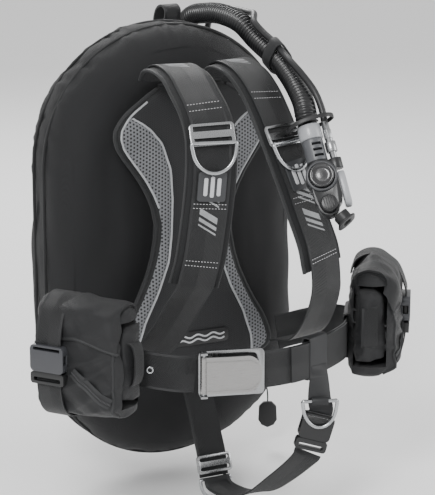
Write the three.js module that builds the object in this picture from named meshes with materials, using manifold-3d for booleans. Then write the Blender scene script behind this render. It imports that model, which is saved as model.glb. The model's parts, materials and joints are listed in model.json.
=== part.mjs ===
// Back-inflation buoyancy compensator vest: an oval air cell and padded backplate, a webbing harness
// with shoulder straps, waist belt and crotch strap, two weight pockets, and an inflator on two hoses.
//
// Millimetres, +Z up. The origin lies on the axis of the air cylinder that the tank band holds, at
// the band's mid height. -Y points to the wearer's back, +Y away from it, +X to the wearer's left.

import * as THREE from "three";
import { mergeVertices } from "three/addons/utils/BufferGeometryUtils.js";
import Module from "manifold-3d";

const wasm = await Module();
wasm.setup();

// ---------------------------------------------------------------- driving dimensions

const GAP = 0.4; // between pieces that touch

const TANK_RADIUS = 86; // a 12 litre steel cylinder
const BAND_WIDTH = 50;
const BAND_THICKNESS = 2.4;
const BAND_SLOT_X = 36; // where the band turns forwards through the plate

const CELL_HALF_WIDTH = 190;
const CELL_HALF_HEIGHT = 310;
const CELL_CENTRE_Z = -32;
const CELL_FRONT_SEAM_Y = -45;
const CELL_BACK_SEAM_Y = -12;
const CELL_FRONT_RISE = 55; // of the front panel past its seam
const CELL_BACK_RISE = 50;
const CELL_WALL = 2.5;
const CELL_ARC_STEPS = 13; // segments in each round end

const PLATE_THICKNESS = 5;
const PLATE_HALF_HEIGHT = 172;
const PAD_THICKNESS = 20;
const PAD_HALF_WAIST = 58;
const PAD_TOP_Z = 208;
const PAD_BOTTOM_Z = -192;

const WEBBING_WIDTH = 50;
const WEBBING_THICKNESS = 2.4;
const SHOULDER_PAD_WIDTH = 66;
const SHOULDER_PAD_THICKNESS = 10;
const POCKET_WEBBING_WIDTH = 38;

const STRAP_SPLAY = 13; // degrees that each shoulder strap faces outwards

const RING_WIRE = 5; // wire of the D-rings
const RING_WIDTH = 62;
const RING_HEIGHT = 44;
const CROTCH_RING_WIDTH = 50;
const SLIDE_PLATE = 3; // thickness of the steel sliders

const BUCKLE_LENGTH = 76; // waist buckle lever
const BUCKLE_HEIGHT = 50;
const BUCKLE_TURN = 17; // degrees that the waist buckle faces off straight ahead

const POCKET_LENGTH = 142;
const POCKET_HEIGHT = 160;
const POCKET_DEPTH = 68;
const POCKET_WALL = 3;
const POUCH_LENGTH = 130;
const POUCH_HEIGHT = 112;
const POUCH_DEPTH = 44;
const POCKET_X = 222;
const POCKET_Y = -247;
const POCKET_Z = -118;
const POCKET_TURN = 34; // degrees between the pocket's length and the fore and aft direction

const CLIP_WIDTH = 50; // side-release buckles
const CLIP_SOCKET = 36;
const CLIP_THICKNESS = 13;

const HOSE_RADIUS = 15;
const FEED_HOSE_RADIUS = 4.6;
const CELL_TOP_Z = CELL_CENTRE_Z + CELL_HALF_HEIGHT;
const PORT = new THREE.Vector3(85, 39, CELL_TOP_Z - 66); // hose elbow on the cell's back panel
const ELBOW_BEND = 24;

const DUMP = new THREE.Vector3(125, 39, CELL_CENTRE_Z - CELL_HALF_HEIGHT + 117); // dump valve on the back
const DUMP_RADIUS = 31;
const TOGGLE = new THREE.Vector3(180, -15, DUMP.z - 101);

// ---------------------------------------------------------------- small tools

const v = (x, y, z) => new THREE.Vector3(x, y, z);
const X_AXIS = v(1, 0, 0);
const Y_AXIS = v(0, 1, 0);
const Z_AXIS = v(0, 0, 1);
const radians = THREE.MathUtils.degToRad;

const assembly = new THREE.Group();

// Adds one sub-part to the assembly.
function part(name, geometry, colour, roughness, metalness = 0) {
  const material = new THREE.MeshStandardMaterial({ color: colour, roughness, metalness });
  const mesh = new THREE.Mesh(geometry, material);
  mesh.name = name;
  assembly.add(mesh);
}

const FABRIC = 0x17181a;
const WEBBING = 0x111214;
const MESH_GREY = 0x6d7074;
const RUBBER = 0x1b1c1e;
const BLACK_PLASTIC = 0x202124;
const GREY_PLASTIC = 0x4c4f53;
const SILVER_PLASTIC = 0xb9bdc1;
const STEEL = 0xc9ccd0;

// A bare, indexed copy of a geometry with its shared corners merged.
function welded(geometry) {
  const bare = new THREE.BufferGeometry();
  bare.setAttribute("position", geometry.getAttribute("position").clone());
  if (geometry.index) bare.setIndex(geometry.index.clone());
  return mergeVertices(bare, 1e-4);
}

// Turns a geometry's faces round if they point inwards.
function facingOut(geometry) {
  const flat = welded(geometry);
  const p = flat.getAttribute("position");
  const index = flat.index.array;
  const [a, b, c] = [v(0, 0, 0), v(0, 0, 0), v(0, 0, 0)];
  let volume = 0;
  for (let i = 0; i < index.length; i += 3) {
    a.fromBufferAttribute(p, index[i]);
    b.fromBufferAttribute(p, index[i + 1]);
    c.fromBufferAttribute(p, index[i + 2]);
    volume += a.dot(b.cross(c));
  }
  if (volume < 0) {
    for (let i = 0; i < index.length; i += 3) {
      [index[i + 1], index[i + 2]] = [index[i + 2], index[i + 1]];
    }
  }
  return flat;
}

function toSolid(geometry) {
  const flat = facingOut(geometry);
  return new wasm.Manifold(
    new wasm.Mesh({
      numProp: 3,
      vertProperties: new Float32Array(flat.getAttribute("position").array),
      triVerts: new Uint32Array(flat.index.array),
    }),
  );
}

function toGeometry(solid) {
  const mesh = solid.getMesh();
  const geometry = new THREE.BufferGeometry();
  const points = new Float32Array(mesh.numVert * 3);
  for (let i = 0; i < mesh.numVert; i += 1) {
    points.set(mesh.vertProperties.subarray(i * mesh.numProp, i * mesh.numProp + 3), i * 3);
  }
  geometry.setAttribute("position", new THREE.BufferAttribute(points, 3));
  geometry.setIndex(new THREE.BufferAttribute(mesh.triVerts, 1));
  return geometry;
}

function cut(geometry, ...tools) {
  const start = toSolid(geometry);
  return toGeometry(tools.reduce((left, tool) => left.subtract(toSolid(tool)), start));
}

function join(geometry, ...others) {
  const start = toSolid(geometry);
  return toGeometry(others.reduce((sum, other) => sum.add(toSolid(other)), start));
}

// The same geometry moved by a matrix, with its faces pointing out even if the matrix mirrors it.
function placed(geometry, matrix) {
  return facingOut(welded(geometry).applyMatrix4(matrix));
}

const shifted = (geometry, x, y, z) => placed(geometry, new THREE.Matrix4().makeTranslation(x, y, z));

// A frame at a point, from its X and Y directions; Z completes it.
function frameAt(origin, xDirection, yDirection) {
  const z = xDirection.clone().cross(yDirection).normalize();
  const x = yDirection.clone().cross(z).normalize();
  const y = z.clone().cross(x);
  return new THREE.Matrix4().makeBasis(x, y, z).setPosition(origin);
}

const box = (x, y, z) => new THREE.BoxGeometry(x, y, z);

// A cylinder along Z.
function rod(radius, length, sides = 16) {
  return new THREE.CylinderGeometry(radius, radius, length, sides).rotateX(Math.PI / 2);
}

// A cylinder along Y.
const standingRod = (radius, length, sides = 16) => rod(radius, length, sides).rotateX(Math.PI / 2);

// Skin over a row of outlines with equal point counts; the ends are capped, or meet if it is a ring.
function loft(outlines, ring = false) {
  const count = outlines[0].length;
  const points = outlines.flat();
  const faces = [];
  const last = ring ? outlines.length : outlines.length - 1;
  for (let i = 0; i < last; i += 1) {
    const here = i * count;
    const next = ((i + 1) % outlines.length) * count;
    for (let j = 0; j < count; j += 1) {
      const k = (j + 1) % count;
      faces.push(here + j, next + j, next + k, here + j, next + k, here + k);
    }
  }
  if (!ring) {
    const end = (outlines.length - 1) * count;
    for (let j = 1; j < count - 1; j += 1) {
      faces.push(0, j, j + 1, end, end + j + 1, end + j);
    }
  }
  const geometry = new THREE.BufferGeometry().setFromPoints(points);
  geometry.setIndex(faces);
  return facingOut(geometry);
}

// A flat section carried along a smooth route. across gives the width direction at the route's
// start, or a list with one direction per route point.
function strip(route, across, section, steps, ring = false) {
  const curve = new THREE.CatmullRomCurve3(route, ring, "centripetal");
  const directions = Array.isArray(across) ? across : [across];
  const outlines = [];
  const count = ring ? steps : steps + 1;
  for (let i = 0; i < count; i += 1) {
    const t = i / steps;
    const at = curve.getPoint(t);
    const along = curve.getTangent(t);
    const place = t * (directions.length - 1);
    const k = Math.min(Math.floor(place), directions.length - 2);
    const wide = directions[Math.max(k, 0)].clone();
    if (directions.length > 1) wide.lerp(directions[k + 1], place - k);
    wide.addScaledVector(along, -wide.dot(along)).normalize();
    const out = wide.clone().cross(along).normalize();
    outlines.push(section.map(([a, b]) => at.clone().addScaledVector(wide, a).addScaledVector(out, b)));
  }
  return loft(outlines, ring);
}

function rectangle(width, thickness, lift = 0) {
  const [w, t] = [width / 2, thickness / 2];
  return [[-w, lift - t], [w, lift - t], [w, lift + t], [-w, lift + t]];
}

function cushion(width, thickness) {
  const [w, t] = [width / 2, thickness / 2];
  const e = t * 0.6;
  return [[-w, -e], [-w + t, -t], [w - t, -t], [w, -e], [w, e], [w - t, t], [-w + t, t], [-w, e]];
}

function circle(radius, sides) {
  return Array.from({ length: sides }, (_, i) => {
    const a = (i / sides) * 2 * Math.PI;
    return [radius * Math.cos(a), radius * Math.sin(a)];
  });
}

// A round tube along a route.
function tube(route, radius, sides, steps) {
  const outline = new THREE.Shape(circle(radius, sides).map(([a, b]) => new THREE.Vector2(a, b)));
  const path = new THREE.CatmullRomCurve3(route, false, "centripetal");
  return facingOut(new THREE.ExtrudeGeometry(outline, { steps, bevelEnabled: false, extrudePath: path }));
}

// A plate with an outline and holes, its thickness along Z and centred on it.
function plate(outline, thickness, holes = []) {
  const shape = new THREE.Shape(outline.map(([a, b]) => new THREE.Vector2(a, b)));
  shape.holes = holes.map((hole) => new THREE.Path(hole.map(([a, b]) => new THREE.Vector2(a, b))));
  const geometry = new THREE.ExtrudeGeometry(shape, { depth: thickness, bevelEnabled: false });
  return facingOut(geometry.translate(0, 0, -thickness / 2));
}

// A rectangle's outline with round corners.
function roundRectangle(width, height, radius, corner = 3, cx = 0, cy = 0) {
  const points = [];
  const [w, h] = [width / 2 - radius, height / 2 - radius];
  for (const [sx, sy, start] of [[1, 1, 0], [-1, 1, 90], [-1, -1, 180], [1, -1, 270]]) {
    for (let i = 0; i <= corner; i += 1) {
      const a = radians(start + (90 * i) / corner);
      points.push([cx + sx * w + radius * Math.cos(a), cy + sy * h + radius * Math.sin(a)]);
    }
  }
  return points;
}

// ---------------------------------------------------------------- air cell

const CELL_STRAIGHT = CELL_HALF_HEIGHT - CELL_HALF_WIDTH; // half of its straight sides
const CHANNEL_RADIUS = TANK_RADIUS + BAND_THICKNESS + 2.6; // room behind the cell for the cylinder
const WEB_BACK_Y = -(TANK_RADIUS + BAND_THICKNESS + 1.2);
const CELL_FRONT_Y = CELL_FRONT_SEAM_Y - CELL_FRONT_RISE;
const CELL_BACK_Y = CELL_BACK_SEAM_Y + CELL_BACK_RISE;
const TUBE_WIDTH = CELL_HALF_WIDTH - CHANNEL_RADIUS - 7; // of the air space, from the rim to the middle web
const FRONT_SHOULDER = TUBE_WIDTH - 22; // from the rim to where the front panel is full
const BACK_SHOULDER = (TUBE_WIDTH * 12) / 23;
const REAR_ROUND = 17; // by which the rear panel turns in before it meets the web

// An oval ring of the cell: straight sides and round ends, at a distance in from the rim.
function cellRing(inset, y) {
  const radius = CELL_HALF_WIDTH - inset;
  const points = [];
  for (const end of [1, -1]) {
    for (let i = 0; i <= CELL_ARC_STEPS; i += 1) {
      const a = (end > 0 ? 0 : Math.PI) + (i / CELL_ARC_STEPS) * Math.PI;
      points.push(v(radius * Math.cos(a), y, CELL_CENTRE_Z + end * CELL_STRAIGHT + radius * Math.sin(a)));
    }
  }
  return points;
}

// Rounded rise of a panel between the rim and its shoulder, as [inset, height] pairs.
function rise(shoulder, height, skin) {
  return [0, 0.03, 0.14, 0.36, 0.64, 1].map((t) => {
    const inset = skin + t * (shoulder - skin);
    return [inset, (height - skin) * Math.sqrt(1 - (1 - t) ** 2)];
  });
}

// The air space's section, a skin's thickness inside the cell, from the web round the rim and back.
function tubeSection(skin) {
  const front = rise(FRONT_SHOULDER, CELL_FRONT_RISE, skin).map(([i, h]) => [i, CELL_FRONT_SEAM_Y - h]);
  const back = rise(BACK_SHOULDER, CELL_BACK_RISE, skin).map(([i, h]) => [i, CELL_BACK_SEAM_Y + h]);
  const inner = TUBE_WIDTH - skin;
  const rearInner = [[inner - REAR_ROUND, 30 - skin], [inner - 1, 8 - skin]];
  return [[inner, CELL_FRONT_Y + skin], ...front.reverse(), ...back, ...rearInner];
}

const channel = [0.985, 0.88, 0.7, 0.46, 0.22].map((share) => {
  const x = CHANNEL_RADIUS * share;
  return [CELL_HALF_WIDTH - x, -Math.sqrt(CHANNEL_RADIUS ** 2 - x ** 2) + 0.6];
});
channel[channel.length - 1][1] = WEB_BACK_Y;

const cellSection = [
  [CELL_HALF_WIDTH - 40, CELL_FRONT_Y],
  ...rise(FRONT_SHOULDER, CELL_FRONT_RISE, 0).map(([i, h]) => [i, CELL_FRONT_SEAM_Y - h]).reverse(),
  ...rise(BACK_SHOULDER, CELL_BACK_RISE, 0).map(([i, h]) => [i, CELL_BACK_SEAM_Y + h]),
  [TUBE_WIDTH - REAR_ROUND, 30],
  [TUBE_WIDTH, 12],
  ...channel,
];
const slotTool = (side) =>
  shifted(box(BAND_THICKNESS + 6, 60, BAND_WIDTH + 6), side * BAND_SLOT_X, CELL_FRONT_Y, 0);
const portHole = (at, radius) => shifted(standingRod(radius, 30), at.x, at.y - 6, at.z);

part(
  "air_cell_shell",
  cut(
    loft(cellSection.map(([inset, y]) => cellRing(inset, y))),
    loft(tubeSection(CELL_WALL).map(([inset, y]) => cellRing(inset, y)), true),
    slotTool(1),
    slotTool(-1),
    portHole(PORT, 13),
    portHole(DUMP, 16),
  ),
  FABRIC,
  0.9,
);
part(
  "air_bladder",
  loft(tubeSection(CELL_WALL + 0.8).map(([inset, y]) => cellRing(inset, y)), true),
  0x3a3f46,
  0.5,
);

// ---------------------------------------------------------------- backplate, pad and tank band

const PLATE_BACK_Y = CELL_FRONT_Y - GAP;
const PLATE_FRONT_Y = PLATE_BACK_Y - PLATE_THICKNESS;
const BAND_FRONT_Y = PLATE_FRONT_Y - GAP - BAND_THICKNESS; // where the band crosses the plate
const PAD_BACK_Y = BAND_FRONT_Y - GAP;
const PAD_FRONT_Y = PAD_BACK_Y - PAD_THICKNESS;

// Outlines drawn in X and Z stand upright: drawing Y becomes +Z, drawing Z becomes -Y.
const upright = (y) => frameAt(v(0, y, 0), X_AXIS, Z_AXIS);
const bothSides = (half) => [...half, ...half.map(([x, z]) => [-x, z]).reverse()];

const plateHalf = [
  [48, PLATE_HALF_HEIGHT], [66, 140], [52, 60], [46, 10], [56, -70], [92, -130], [92, -162],
  [74, -PLATE_HALF_HEIGHT],
];
const bandSlots = [1, -1].map((side) =>
  roundRectangle(BAND_THICKNESS + 4, BAND_WIDTH + 6, 2, 1, side * BAND_SLOT_X, 0),
);
part(
  "backplate",
  placed(
    plate(bothSides(plateHalf), PLATE_THICKNESS, bandSlots),
    upright((PLATE_BACK_Y + PLATE_FRONT_Y) / 2),
  ),
  BLACK_PLASTIC,
  0.5,
);

const padHalf = [
  [46, PAD_TOP_Z],
  [62, PAD_TOP_Z - 8],
  [84, 184],
  [112, 162],
  [120, 144],
  [114, 124],
  [92, 94],
  [68, 52],
  [PAD_HALF_WAIST, 15],
  [PAD_HALF_WAIST + 6, -35],
  [86, -88],
  [112, -132],
  [126, -168],
  [118, PAD_BOTTOM_Z + 4],
  [100, PAD_BOTTOM_Z],
];
part(
  "back_pad",
  placed(plate(bothSides(padHalf), PAD_THICKNESS), upright((PAD_BACK_Y + PAD_FRONT_Y) / 2)),
  MESH_GREY,
  0.9,
);

// The band's outline seen from above: round the cylinder, then straight forwards through the slots
// and across the plate. Off is the distance outwards from the band's mid line.
function bandLine(off) {
  const radius = TANK_RADIUS + 0.4 + BAND_THICKNESS / 2 + off;
  const x = BAND_SLOT_X + off;
  const start = -Math.acos(x / radius);
  const sweep = Math.PI - 2 * start;
  const steps = 40;
  const points = [];
  for (let i = 0; i <= steps; i += 1) {
    const a = start + (i / steps) * sweep;
    points.push([radius * Math.cos(a), radius * Math.sin(a)]);
  }
  const y = BAND_FRONT_Y + BAND_THICKNESS / 2 - off;
  points.push([-x, y], [x, y]);
  return points;
}
part(
  "tank_band",
  plate(bandLine(BAND_THICKNESS / 2), BAND_WIDTH, [bandLine(-BAND_THICKNESS / 2)]),
  WEBBING,
  0.85,
);

// Cam buckle at the back of the band: a frame, a pin and an over-centre lever.
const CAM_WIDTH = 66; // along the band's width
const CAM_LENGTH = 74;
const CAM_PIN_X = 30;
const CAM_PIN_Z = 7;
const CAM_PIN_RADIUS = 2.5;
const camFrame = frameAt(v(0, TANK_RADIUS + BAND_THICKNESS + 2.4, 0), X_AXIS.clone().negate(), Z_AXIS);
const camEar = (y) => shifted(box(12, 4, 12), -CAM_PIN_X, y, 5);
const camRod = (radius, length, sides) =>
  shifted(standingRod(radius, length, sides), -CAM_PIN_X, 0, CAM_PIN_Z);
const camPinHole = camRod(CAM_PIN_RADIUS + 0.2, CAM_WIDTH + 4, 12);
part(
  "tank_buckle_frame",
  placed(
    cut(
      join(
        plate(roundRectangle(CAM_LENGTH, CAM_WIDTH, 5), 2.4, [roundRectangle(8, 52, 2, 1, 26, 0)]),
        camEar(CAM_WIDTH / 2 - 3),
        camEar(3 - CAM_WIDTH / 2),
      ),
      camPinHole,
    ),
    camFrame,
  ),
  STEEL,
  0.35,
  1,
);
part(
  "tank_buckle_pin",
  placed(camRod(CAM_PIN_RADIUS, CAM_WIDTH, 12), camFrame),
  STEEL,
  0.3,
  1,
);
part(
  "tank_buckle_lever",
  placed(
    cut(
      join(
        shifted(plate(roundRectangle(60, 48, 6), 3), 1, 0, 7.5),
        camRod(5, 48, 14),
      ),
      camPinHole,
    ),
    camFrame,
  ),
  STEEL,
  0.3,
  1,
);

// Grab handle: a webbing loop that stands above the cell behind its top edge.
const HANDLE_X = 42;
const HANDLE_WIDTH = 25;
part(
  "grab_handle",
  strip(
    [
      [41, -40], [37, -20], [24, -2], [22, 10], [34, 16], [50, 9], [59, -10], [58, -40],
    ].map(([y, rise]) => v(HANDLE_X, y, CELL_TOP_Z + rise)),
    X_AXIS,
    rectangle(HANDLE_WIDTH, 3),
    20,
  ),
  WEBBING,
  0.85,
);

// ---------------------------------------------------------------- shoulder straps

const SHOULDERS = {
  right: {
    route: [
      v(-46, -122, 216), v(-48, -137, 230), v(-50, -166, 236), v(-52, -202, 231), v(-56, -236, 215),
      v(-59, -268, 195), v(-61, -288, 170), v(-63, -295, 140), v(-65, -295, 105), v(-68, -290, 58),
      v(-72, -281, 5), v(-77, -271, -32),
    ],
    tail: [v(-85, -259, -62), v(-100, -243, -100), v(-118, -212, -140), v(-124, -158, -158)],
    ringAt: 0.6,
  },
  left: {
    route: [
      v(44, -122, 216), v(43, -135, 229), v(42, -160, 235), v(42, -198, 229), v(43, -232, 209),
      v(45, -256, 184), v(48, -276, 156), v(53, -290, 128), v(60, -303, 96), v(67, -320, 56),
      v(74, -334, 20), v(80, -336, -10),
    ],
    tail: [v(85, -339, -42), v(97, -298, -94), v(116, -230, -138), v(124, -165, -158)],
    ringAt: 0.6,
  },
};
const webbingSection = rectangle(WEBBING_WIDTH, WEBBING_THICKNESS);
const RIDE = SHOULDER_PAD_THICKNESS / 2 + 1 + WEBBING_THICKNESS / 2; // webbing's lift off the pad

// A frame on the strap's outer face: X across the strap, Y up along it, Z away from the pad.
function strapFrame(route, wide, t, lift) {
  const curve = new THREE.CatmullRomCurve3(route, false, "centripetal");
  const along = curve.getTangent(t).negate();
  const across = wide.clone().addScaledVector(along, -wide.dot(along)).normalize();
  const out = across.clone().cross(along);
  return frameAt(curve.getPoint(t).addScaledVector(out, lift), across, along);
}

// A D-ring that hangs in its own XY plane from a straight bar on the X axis.
function dRing(width, height) {
  const half = width / 2 - RING_WIRE / 2;
  const route = [v(-half, 0, 0), v(-half * 0.5, 0, 0), v(0, 0, 0), v(half * 0.5, 0, 0), v(half, 0, 0)];
  const arcs = 10;
  for (let i = 1; i < arcs; i += 1) {
    const a = (i / arcs) * Math.PI;
    route.push(v(half * Math.cos(a) * 1.02, -(height - RING_WIRE) * Math.sin(a) ** 0.85, 0));
  }
  return strip(route, Z_AXIS, circle(RING_WIRE / 2, 6), 28, true);
}

// A steel slider: a rounded plate with two slots and a bar between them.
function slider(width, height, slotWidth, slotHeight, slotY) {
  const slots = [slotY, -slotY].map((y) => roundRectangle(slotWidth, slotHeight, 2, 1, 0, y));
  return plate(roundRectangle(width, height, 5), SLIDE_PLATE, slots);
}

const RING_PLAY = 2; // between the D-ring and its slider
const ringTilt = new THREE.Matrix4().makeRotationX(radians(6));

for (const [side, strap] of Object.entries(SHOULDERS)) {
  const splay = radians(side === "left" ? STRAP_SPLAY : -STRAP_SPLAY);
  const wide = X_AXIS.clone().applyAxisAngle(Z_AXIS, splay);
  const across = wide.clone().negate();
  part(
    `shoulder_pad_${side}`,
    strip(strap.route, across, cushion(SHOULDER_PAD_WIDTH, SHOULDER_PAD_THICKNESS), 26),
    FABRIC,
    0.9,
  );
  const webbingRoute = Array.from({ length: 25 }, (_, i) => {
    const frame = strapFrame(strap.route, wide, 0.04 + (0.96 * i) / 24, RIDE);
    return new THREE.Vector3().setFromMatrixPosition(frame);
  });
  part(
    `shoulder_webbing_${side}`,
    strip([...webbingRoute, ...strap.tail], across, webbingSection, 40),
    WEBBING,
    0.85,
  );
  const lift = RIDE + WEBBING_THICKNESS / 2 + GAP;
  const onStrap = strapFrame(strap.route, wide, strap.ringAt - 0.05, lift + SLIDE_PLATE / 2);
  part(`shoulder_slider_${side}`, placed(slider(60, 30, 50, 7, 8), onStrap), STEEL, 0.3, 1);
  const ringLift = lift + SLIDE_PLATE + RING_WIRE / 2 + RING_PLAY;
  const ringFrame = strapFrame(strap.route, wide, strap.ringAt - 0.02, ringLift).multiply(ringTilt);
  part(`shoulder_ring_${side}`, placed(dRing(RING_WIDTH, RING_HEIGHT), ringFrame), STEEL, 0.25, 1);
}

// ---------------------------------------------------------------- waist belt and its buckle

const BUCKLE_CENTRE = v(-50, -326, -141);
const buckleX = X_AXIS.clone().applyAxisAngle(Z_AXIS, -radians(BUCKLE_TURN));
const buckleFrame = frameAt(BUCKLE_CENTRE, buckleX, Z_AXIS);
const onBuckle = (x, y, z) => v(x, y, z).applyMatrix4(buckleFrame);
const BELT_ROOT_X = 131;

part(
  "waist_belt_right",
  strip(
    [
      v(-BELT_ROOT_X, -128, -160), v(-170, -134, -153), v(-202, -156, -142), v(-210, -184, -135),
      v(-203, -206, -132), v(-186, -231, -131), v(-167, -259, -132), v(-148, -282, -135),
      v(-116, -305, -139), onBuckle(-48, 0, -3.5),
    ],
    Z_AXIS,
    webbingSection,
    26,
  ),
  WEBBING,
  0.85,
);
part(
  "waist_belt_left",
  strip(
    [
      onBuckle(-16, 0, -5), onBuckle(42, 0, -5), v(45, -334, -140), v(95, -315, -138), v(146, -283, -137),
      v(167, -259, -137), v(186, -231, -138), v(203, -206, -141), v(210, -184, -144), v(202, -156, -148),
      v(170, -134, -156), v(BELT_ROOT_X, -128, -162),
    ],
    Z_AXIS,
    webbingSection,
    34,
  ),
  WEBBING,
  0.85,
);

const HINGE_X = -BUCKLE_LENGTH / 2;
const HINGE_Z = 6.2;
const HINGE_RADIUS = 2.4;
const buckleEar = (y) => shifted(box(9, 3, 12), HINGE_X, y, 5);
const buckleHole = shifted(standingRod(HINGE_RADIUS + 0.2, 80, 12), HINGE_X, 0, HINGE_Z);
part(
  "waist_buckle_frame",
  placed(
    cut(
      join(
        plate(roundRectangle(BUCKLE_LENGTH + 12, BUCKLE_HEIGHT + 12, 6), 2.4, [
          roundRectangle(52, BUCKLE_HEIGHT + 2, 3, 1, 8, 0),
          roundRectangle(6, BUCKLE_HEIGHT + 2, 2, 1, -29, 0),
        ]),
        buckleEar(BUCKLE_HEIGHT / 2 + 4.5),
        buckleEar(-BUCKLE_HEIGHT / 2 - 4.5),
      ),
      buckleHole,
    ),
    buckleFrame,
  ),
  STEEL,
  0.3,
  1,
);
part(
  "waist_buckle_pin",
  placed(
    shifted(standingRod(HINGE_RADIUS, BUCKLE_HEIGHT + 12, 12), HINGE_X, 0, HINGE_Z),
    buckleFrame,
  ),
  STEEL,
  0.3,
  1,
);
part(
  "waist_buckle_lever",
  placed(
    cut(
      join(
        shifted(plate(roundRectangle(BUCKLE_LENGTH, BUCKLE_HEIGHT, 8), 2), 2.5, 0, HINGE_Z + 1),
        shifted(standingRod(4.2, BUCKLE_HEIGHT, 14), HINGE_X, 0, HINGE_Z),
      ),
      buckleHole,
    ),
    buckleFrame,
  ),
  STEEL,
  0.28,
  1,
);

// ---------------------------------------------------------------- side-release buckles

// Drawn with X across the strap, Y up along it and Z away from the body; the plug enters from below.
const ARM_LENGTH = 24;
const CLIP_ROOM = CLIP_THICKNESS - 5; // height of the hollow that takes the plug's arms

function clipSocket(width) {
  const outer = plate(roundRectangle(width, CLIP_SOCKET, 6), CLIP_THICKNESS);
  const mouthLength = ARM_LENGTH + 4;
  const mouthY = (mouthLength - CLIP_SOCKET) / 2 - 0.1;
  const mouth = shifted(box(width - 9, mouthLength, CLIP_ROOM), 0, mouthY, 0);
  const window = (side) => shifted(box(10, 12, CLIP_ROOM), (side * width) / 2, 0, 0);
  const slot = shifted(box(width - 10, 4, CLIP_THICKNESS + 2), 0, CLIP_SOCKET / 2 - 5, 0);
  return cut(outer, mouth, window(1), window(-1), slot);
}

function clipPlug(width) {
  const thick = CLIP_ROOM - 1.5;
  const base = plate(roundRectangle(width, 16, 4, 3, 0, -CLIP_SOCKET / 2 - 8.5), CLIP_THICKNESS - 2, [
    roundRectangle(width - 10, 5, 1, 1, 0, -CLIP_SOCKET / 2 - 10),
  ]);
  const arm = (x, length) => shifted(box(6, length + 2, thick), x, (length - CLIP_SOCKET) / 2 - 1.5, 0);
  const outer = width / 2 - 8;
  return join(base, arm(0, ARM_LENGTH - 3), arm(outer, ARM_LENGTH), arm(-outer, ARM_LENGTH));
}

// ---------------------------------------------------------------- weight pockets

// A pocket's own frame: X along the pocket to its front end, Y up, Z outwards. The left pocket's
// frame is the right one mirrored.
function pocketFrame(side) {
  const forward = v(Math.sin(radians(POCKET_TURN)), -Math.cos(radians(POCKET_TURN)), 0);
  const frame = frameAt(v(-POCKET_X, POCKET_Y, POCKET_Z), forward, Z_AXIS);
  return side < 0 ? frame : new THREE.Matrix4().makeScale(-1, 1, 1).multiply(frame);
}

const BAG_INNER = -POCKET_DEPTH / 2; // the face towards the belt

// The pocket is a domed bag: outlines shrink and round off towards the outer face.
function bag() {
  const layers = [[1, 0], [1, 0.5], [0.97, 0.74], [0.9, 0.9], [0.78, 1]];
  return loft(
    layers.map(([share, depth]) =>
      roundRectangle(POCKET_LENGTH * share, POCKET_HEIGHT * share, 24 * share, 4).map(([x, y]) =>
        v(x, y, BAG_INNER + depth * POCKET_DEPTH),
      ),
    ),
  );
}

const CLIP_X = -32; // where the closing strap runs down the pocket
const CLIP_Y = 6;
const CLIP_Z = POCKET_DEPTH / 2 + CLIP_THICKNESS / 2 + GAP;

const POUCH_Z = -6; // the pouch lies nearer the pocket's inner face
const pouchX = (POCKET_LENGTH - POUCH_LENGTH) / 2 + 2;

for (const [side, sign] of [["right", -1], ["left", 1]]) {
  const frame = pocketFrame(sign);
  const pouchRoom = shifted(
    box(POUCH_LENGTH + 3, POUCH_HEIGHT + 2, POUCH_DEPTH + 2),
    pouchX,
    0,
    POUCH_Z,
  );
  part(`pocket_${side}`, placed(cut(bag(), pouchRoom), frame), FABRIC, 0.9);
  part(
    `weight_pouch_${side}`,
    placed(
      shifted(
        plate(roundRectangle(POUCH_LENGTH, POUCH_HEIGHT, 8), POUCH_DEPTH),
        pouchX - 0.8,
        0,
        POUCH_Z,
      ),
      frame,
    ),
    FABRIC,
    0.85,
  );
  const clipAt = new THREE.Matrix4().makeTranslation(CLIP_X, CLIP_Y, CLIP_Z);
  const onClip = frame.clone().multiply(clipAt);
  part(`pocket_socket_${side}`, placed(clipSocket(CLIP_WIDTH), onClip), GREY_PLASTIC, 0.45);
  part(`pocket_plug_${side}`, placed(clipPlug(CLIP_WIDTH), onClip), BLACK_PLASTIC, 0.45);
  const strapRoute = [
    v(CLIP_X, CLIP_Y + CLIP_SOCKET / 2 + 1, CLIP_Z),
    v(CLIP_X, CLIP_Y + CLIP_SOCKET / 2 + 20, CLIP_Z - 1),
    v(CLIP_X, POCKET_HEIGHT / 2 - 16, POCKET_DEPTH / 2 + 4),
    v(CLIP_X, POCKET_HEIGHT / 2 + 3, POCKET_DEPTH / 2 - 10),
    v(CLIP_X, POCKET_HEIGHT / 2 + 4, -6),
    v(CLIP_X, POCKET_HEIGHT / 2 + 3, BAG_INNER + 4),
  ];
  part(
    `pocket_strap_${side}`,
    placed(strip(strapRoute, X_AXIS, rectangle(POCKET_WEBBING_WIDTH, 2), 14), frame),
    WEBBING,
    0.85,
  );
}

// ---------------------------------------------------------------- crotch strap

const CROTCH_WIDTH = 44;
part(
  "crotch_strap_rear",
  strip(
    [
      v(0, -118, -193.4), v(0, -124, -212), v(0, -142, -245), v(0, -161, -282), v(0, -174, -308),
      v(0, -179, -325), v(0, -182.6, -339),
    ],
    X_AXIS,
    rectangle(CROTCH_WIDTH, WEBBING_THICKNESS),
    14,
  ),
  WEBBING,
  0.85,
);

const crotchSlideFrame = frameAt(v(0, -183.6, -320), X_AXIS, v(0, 0.34, 1).normalize());
part("crotch_slide", placed(slider(54, 26, 46, 5, 6.5), crotchSlideFrame), STEEL, 0.3, 1);
const REAR_RING = v(0, -187, -341);
part(
  "crotch_ring_rear",
  placed(dRing(CROTCH_RING_WIDTH, 34), frameAt(REAR_RING, X_AXIS, Z_AXIS)),
  STEEL,
  0.25,
  1,
);

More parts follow.
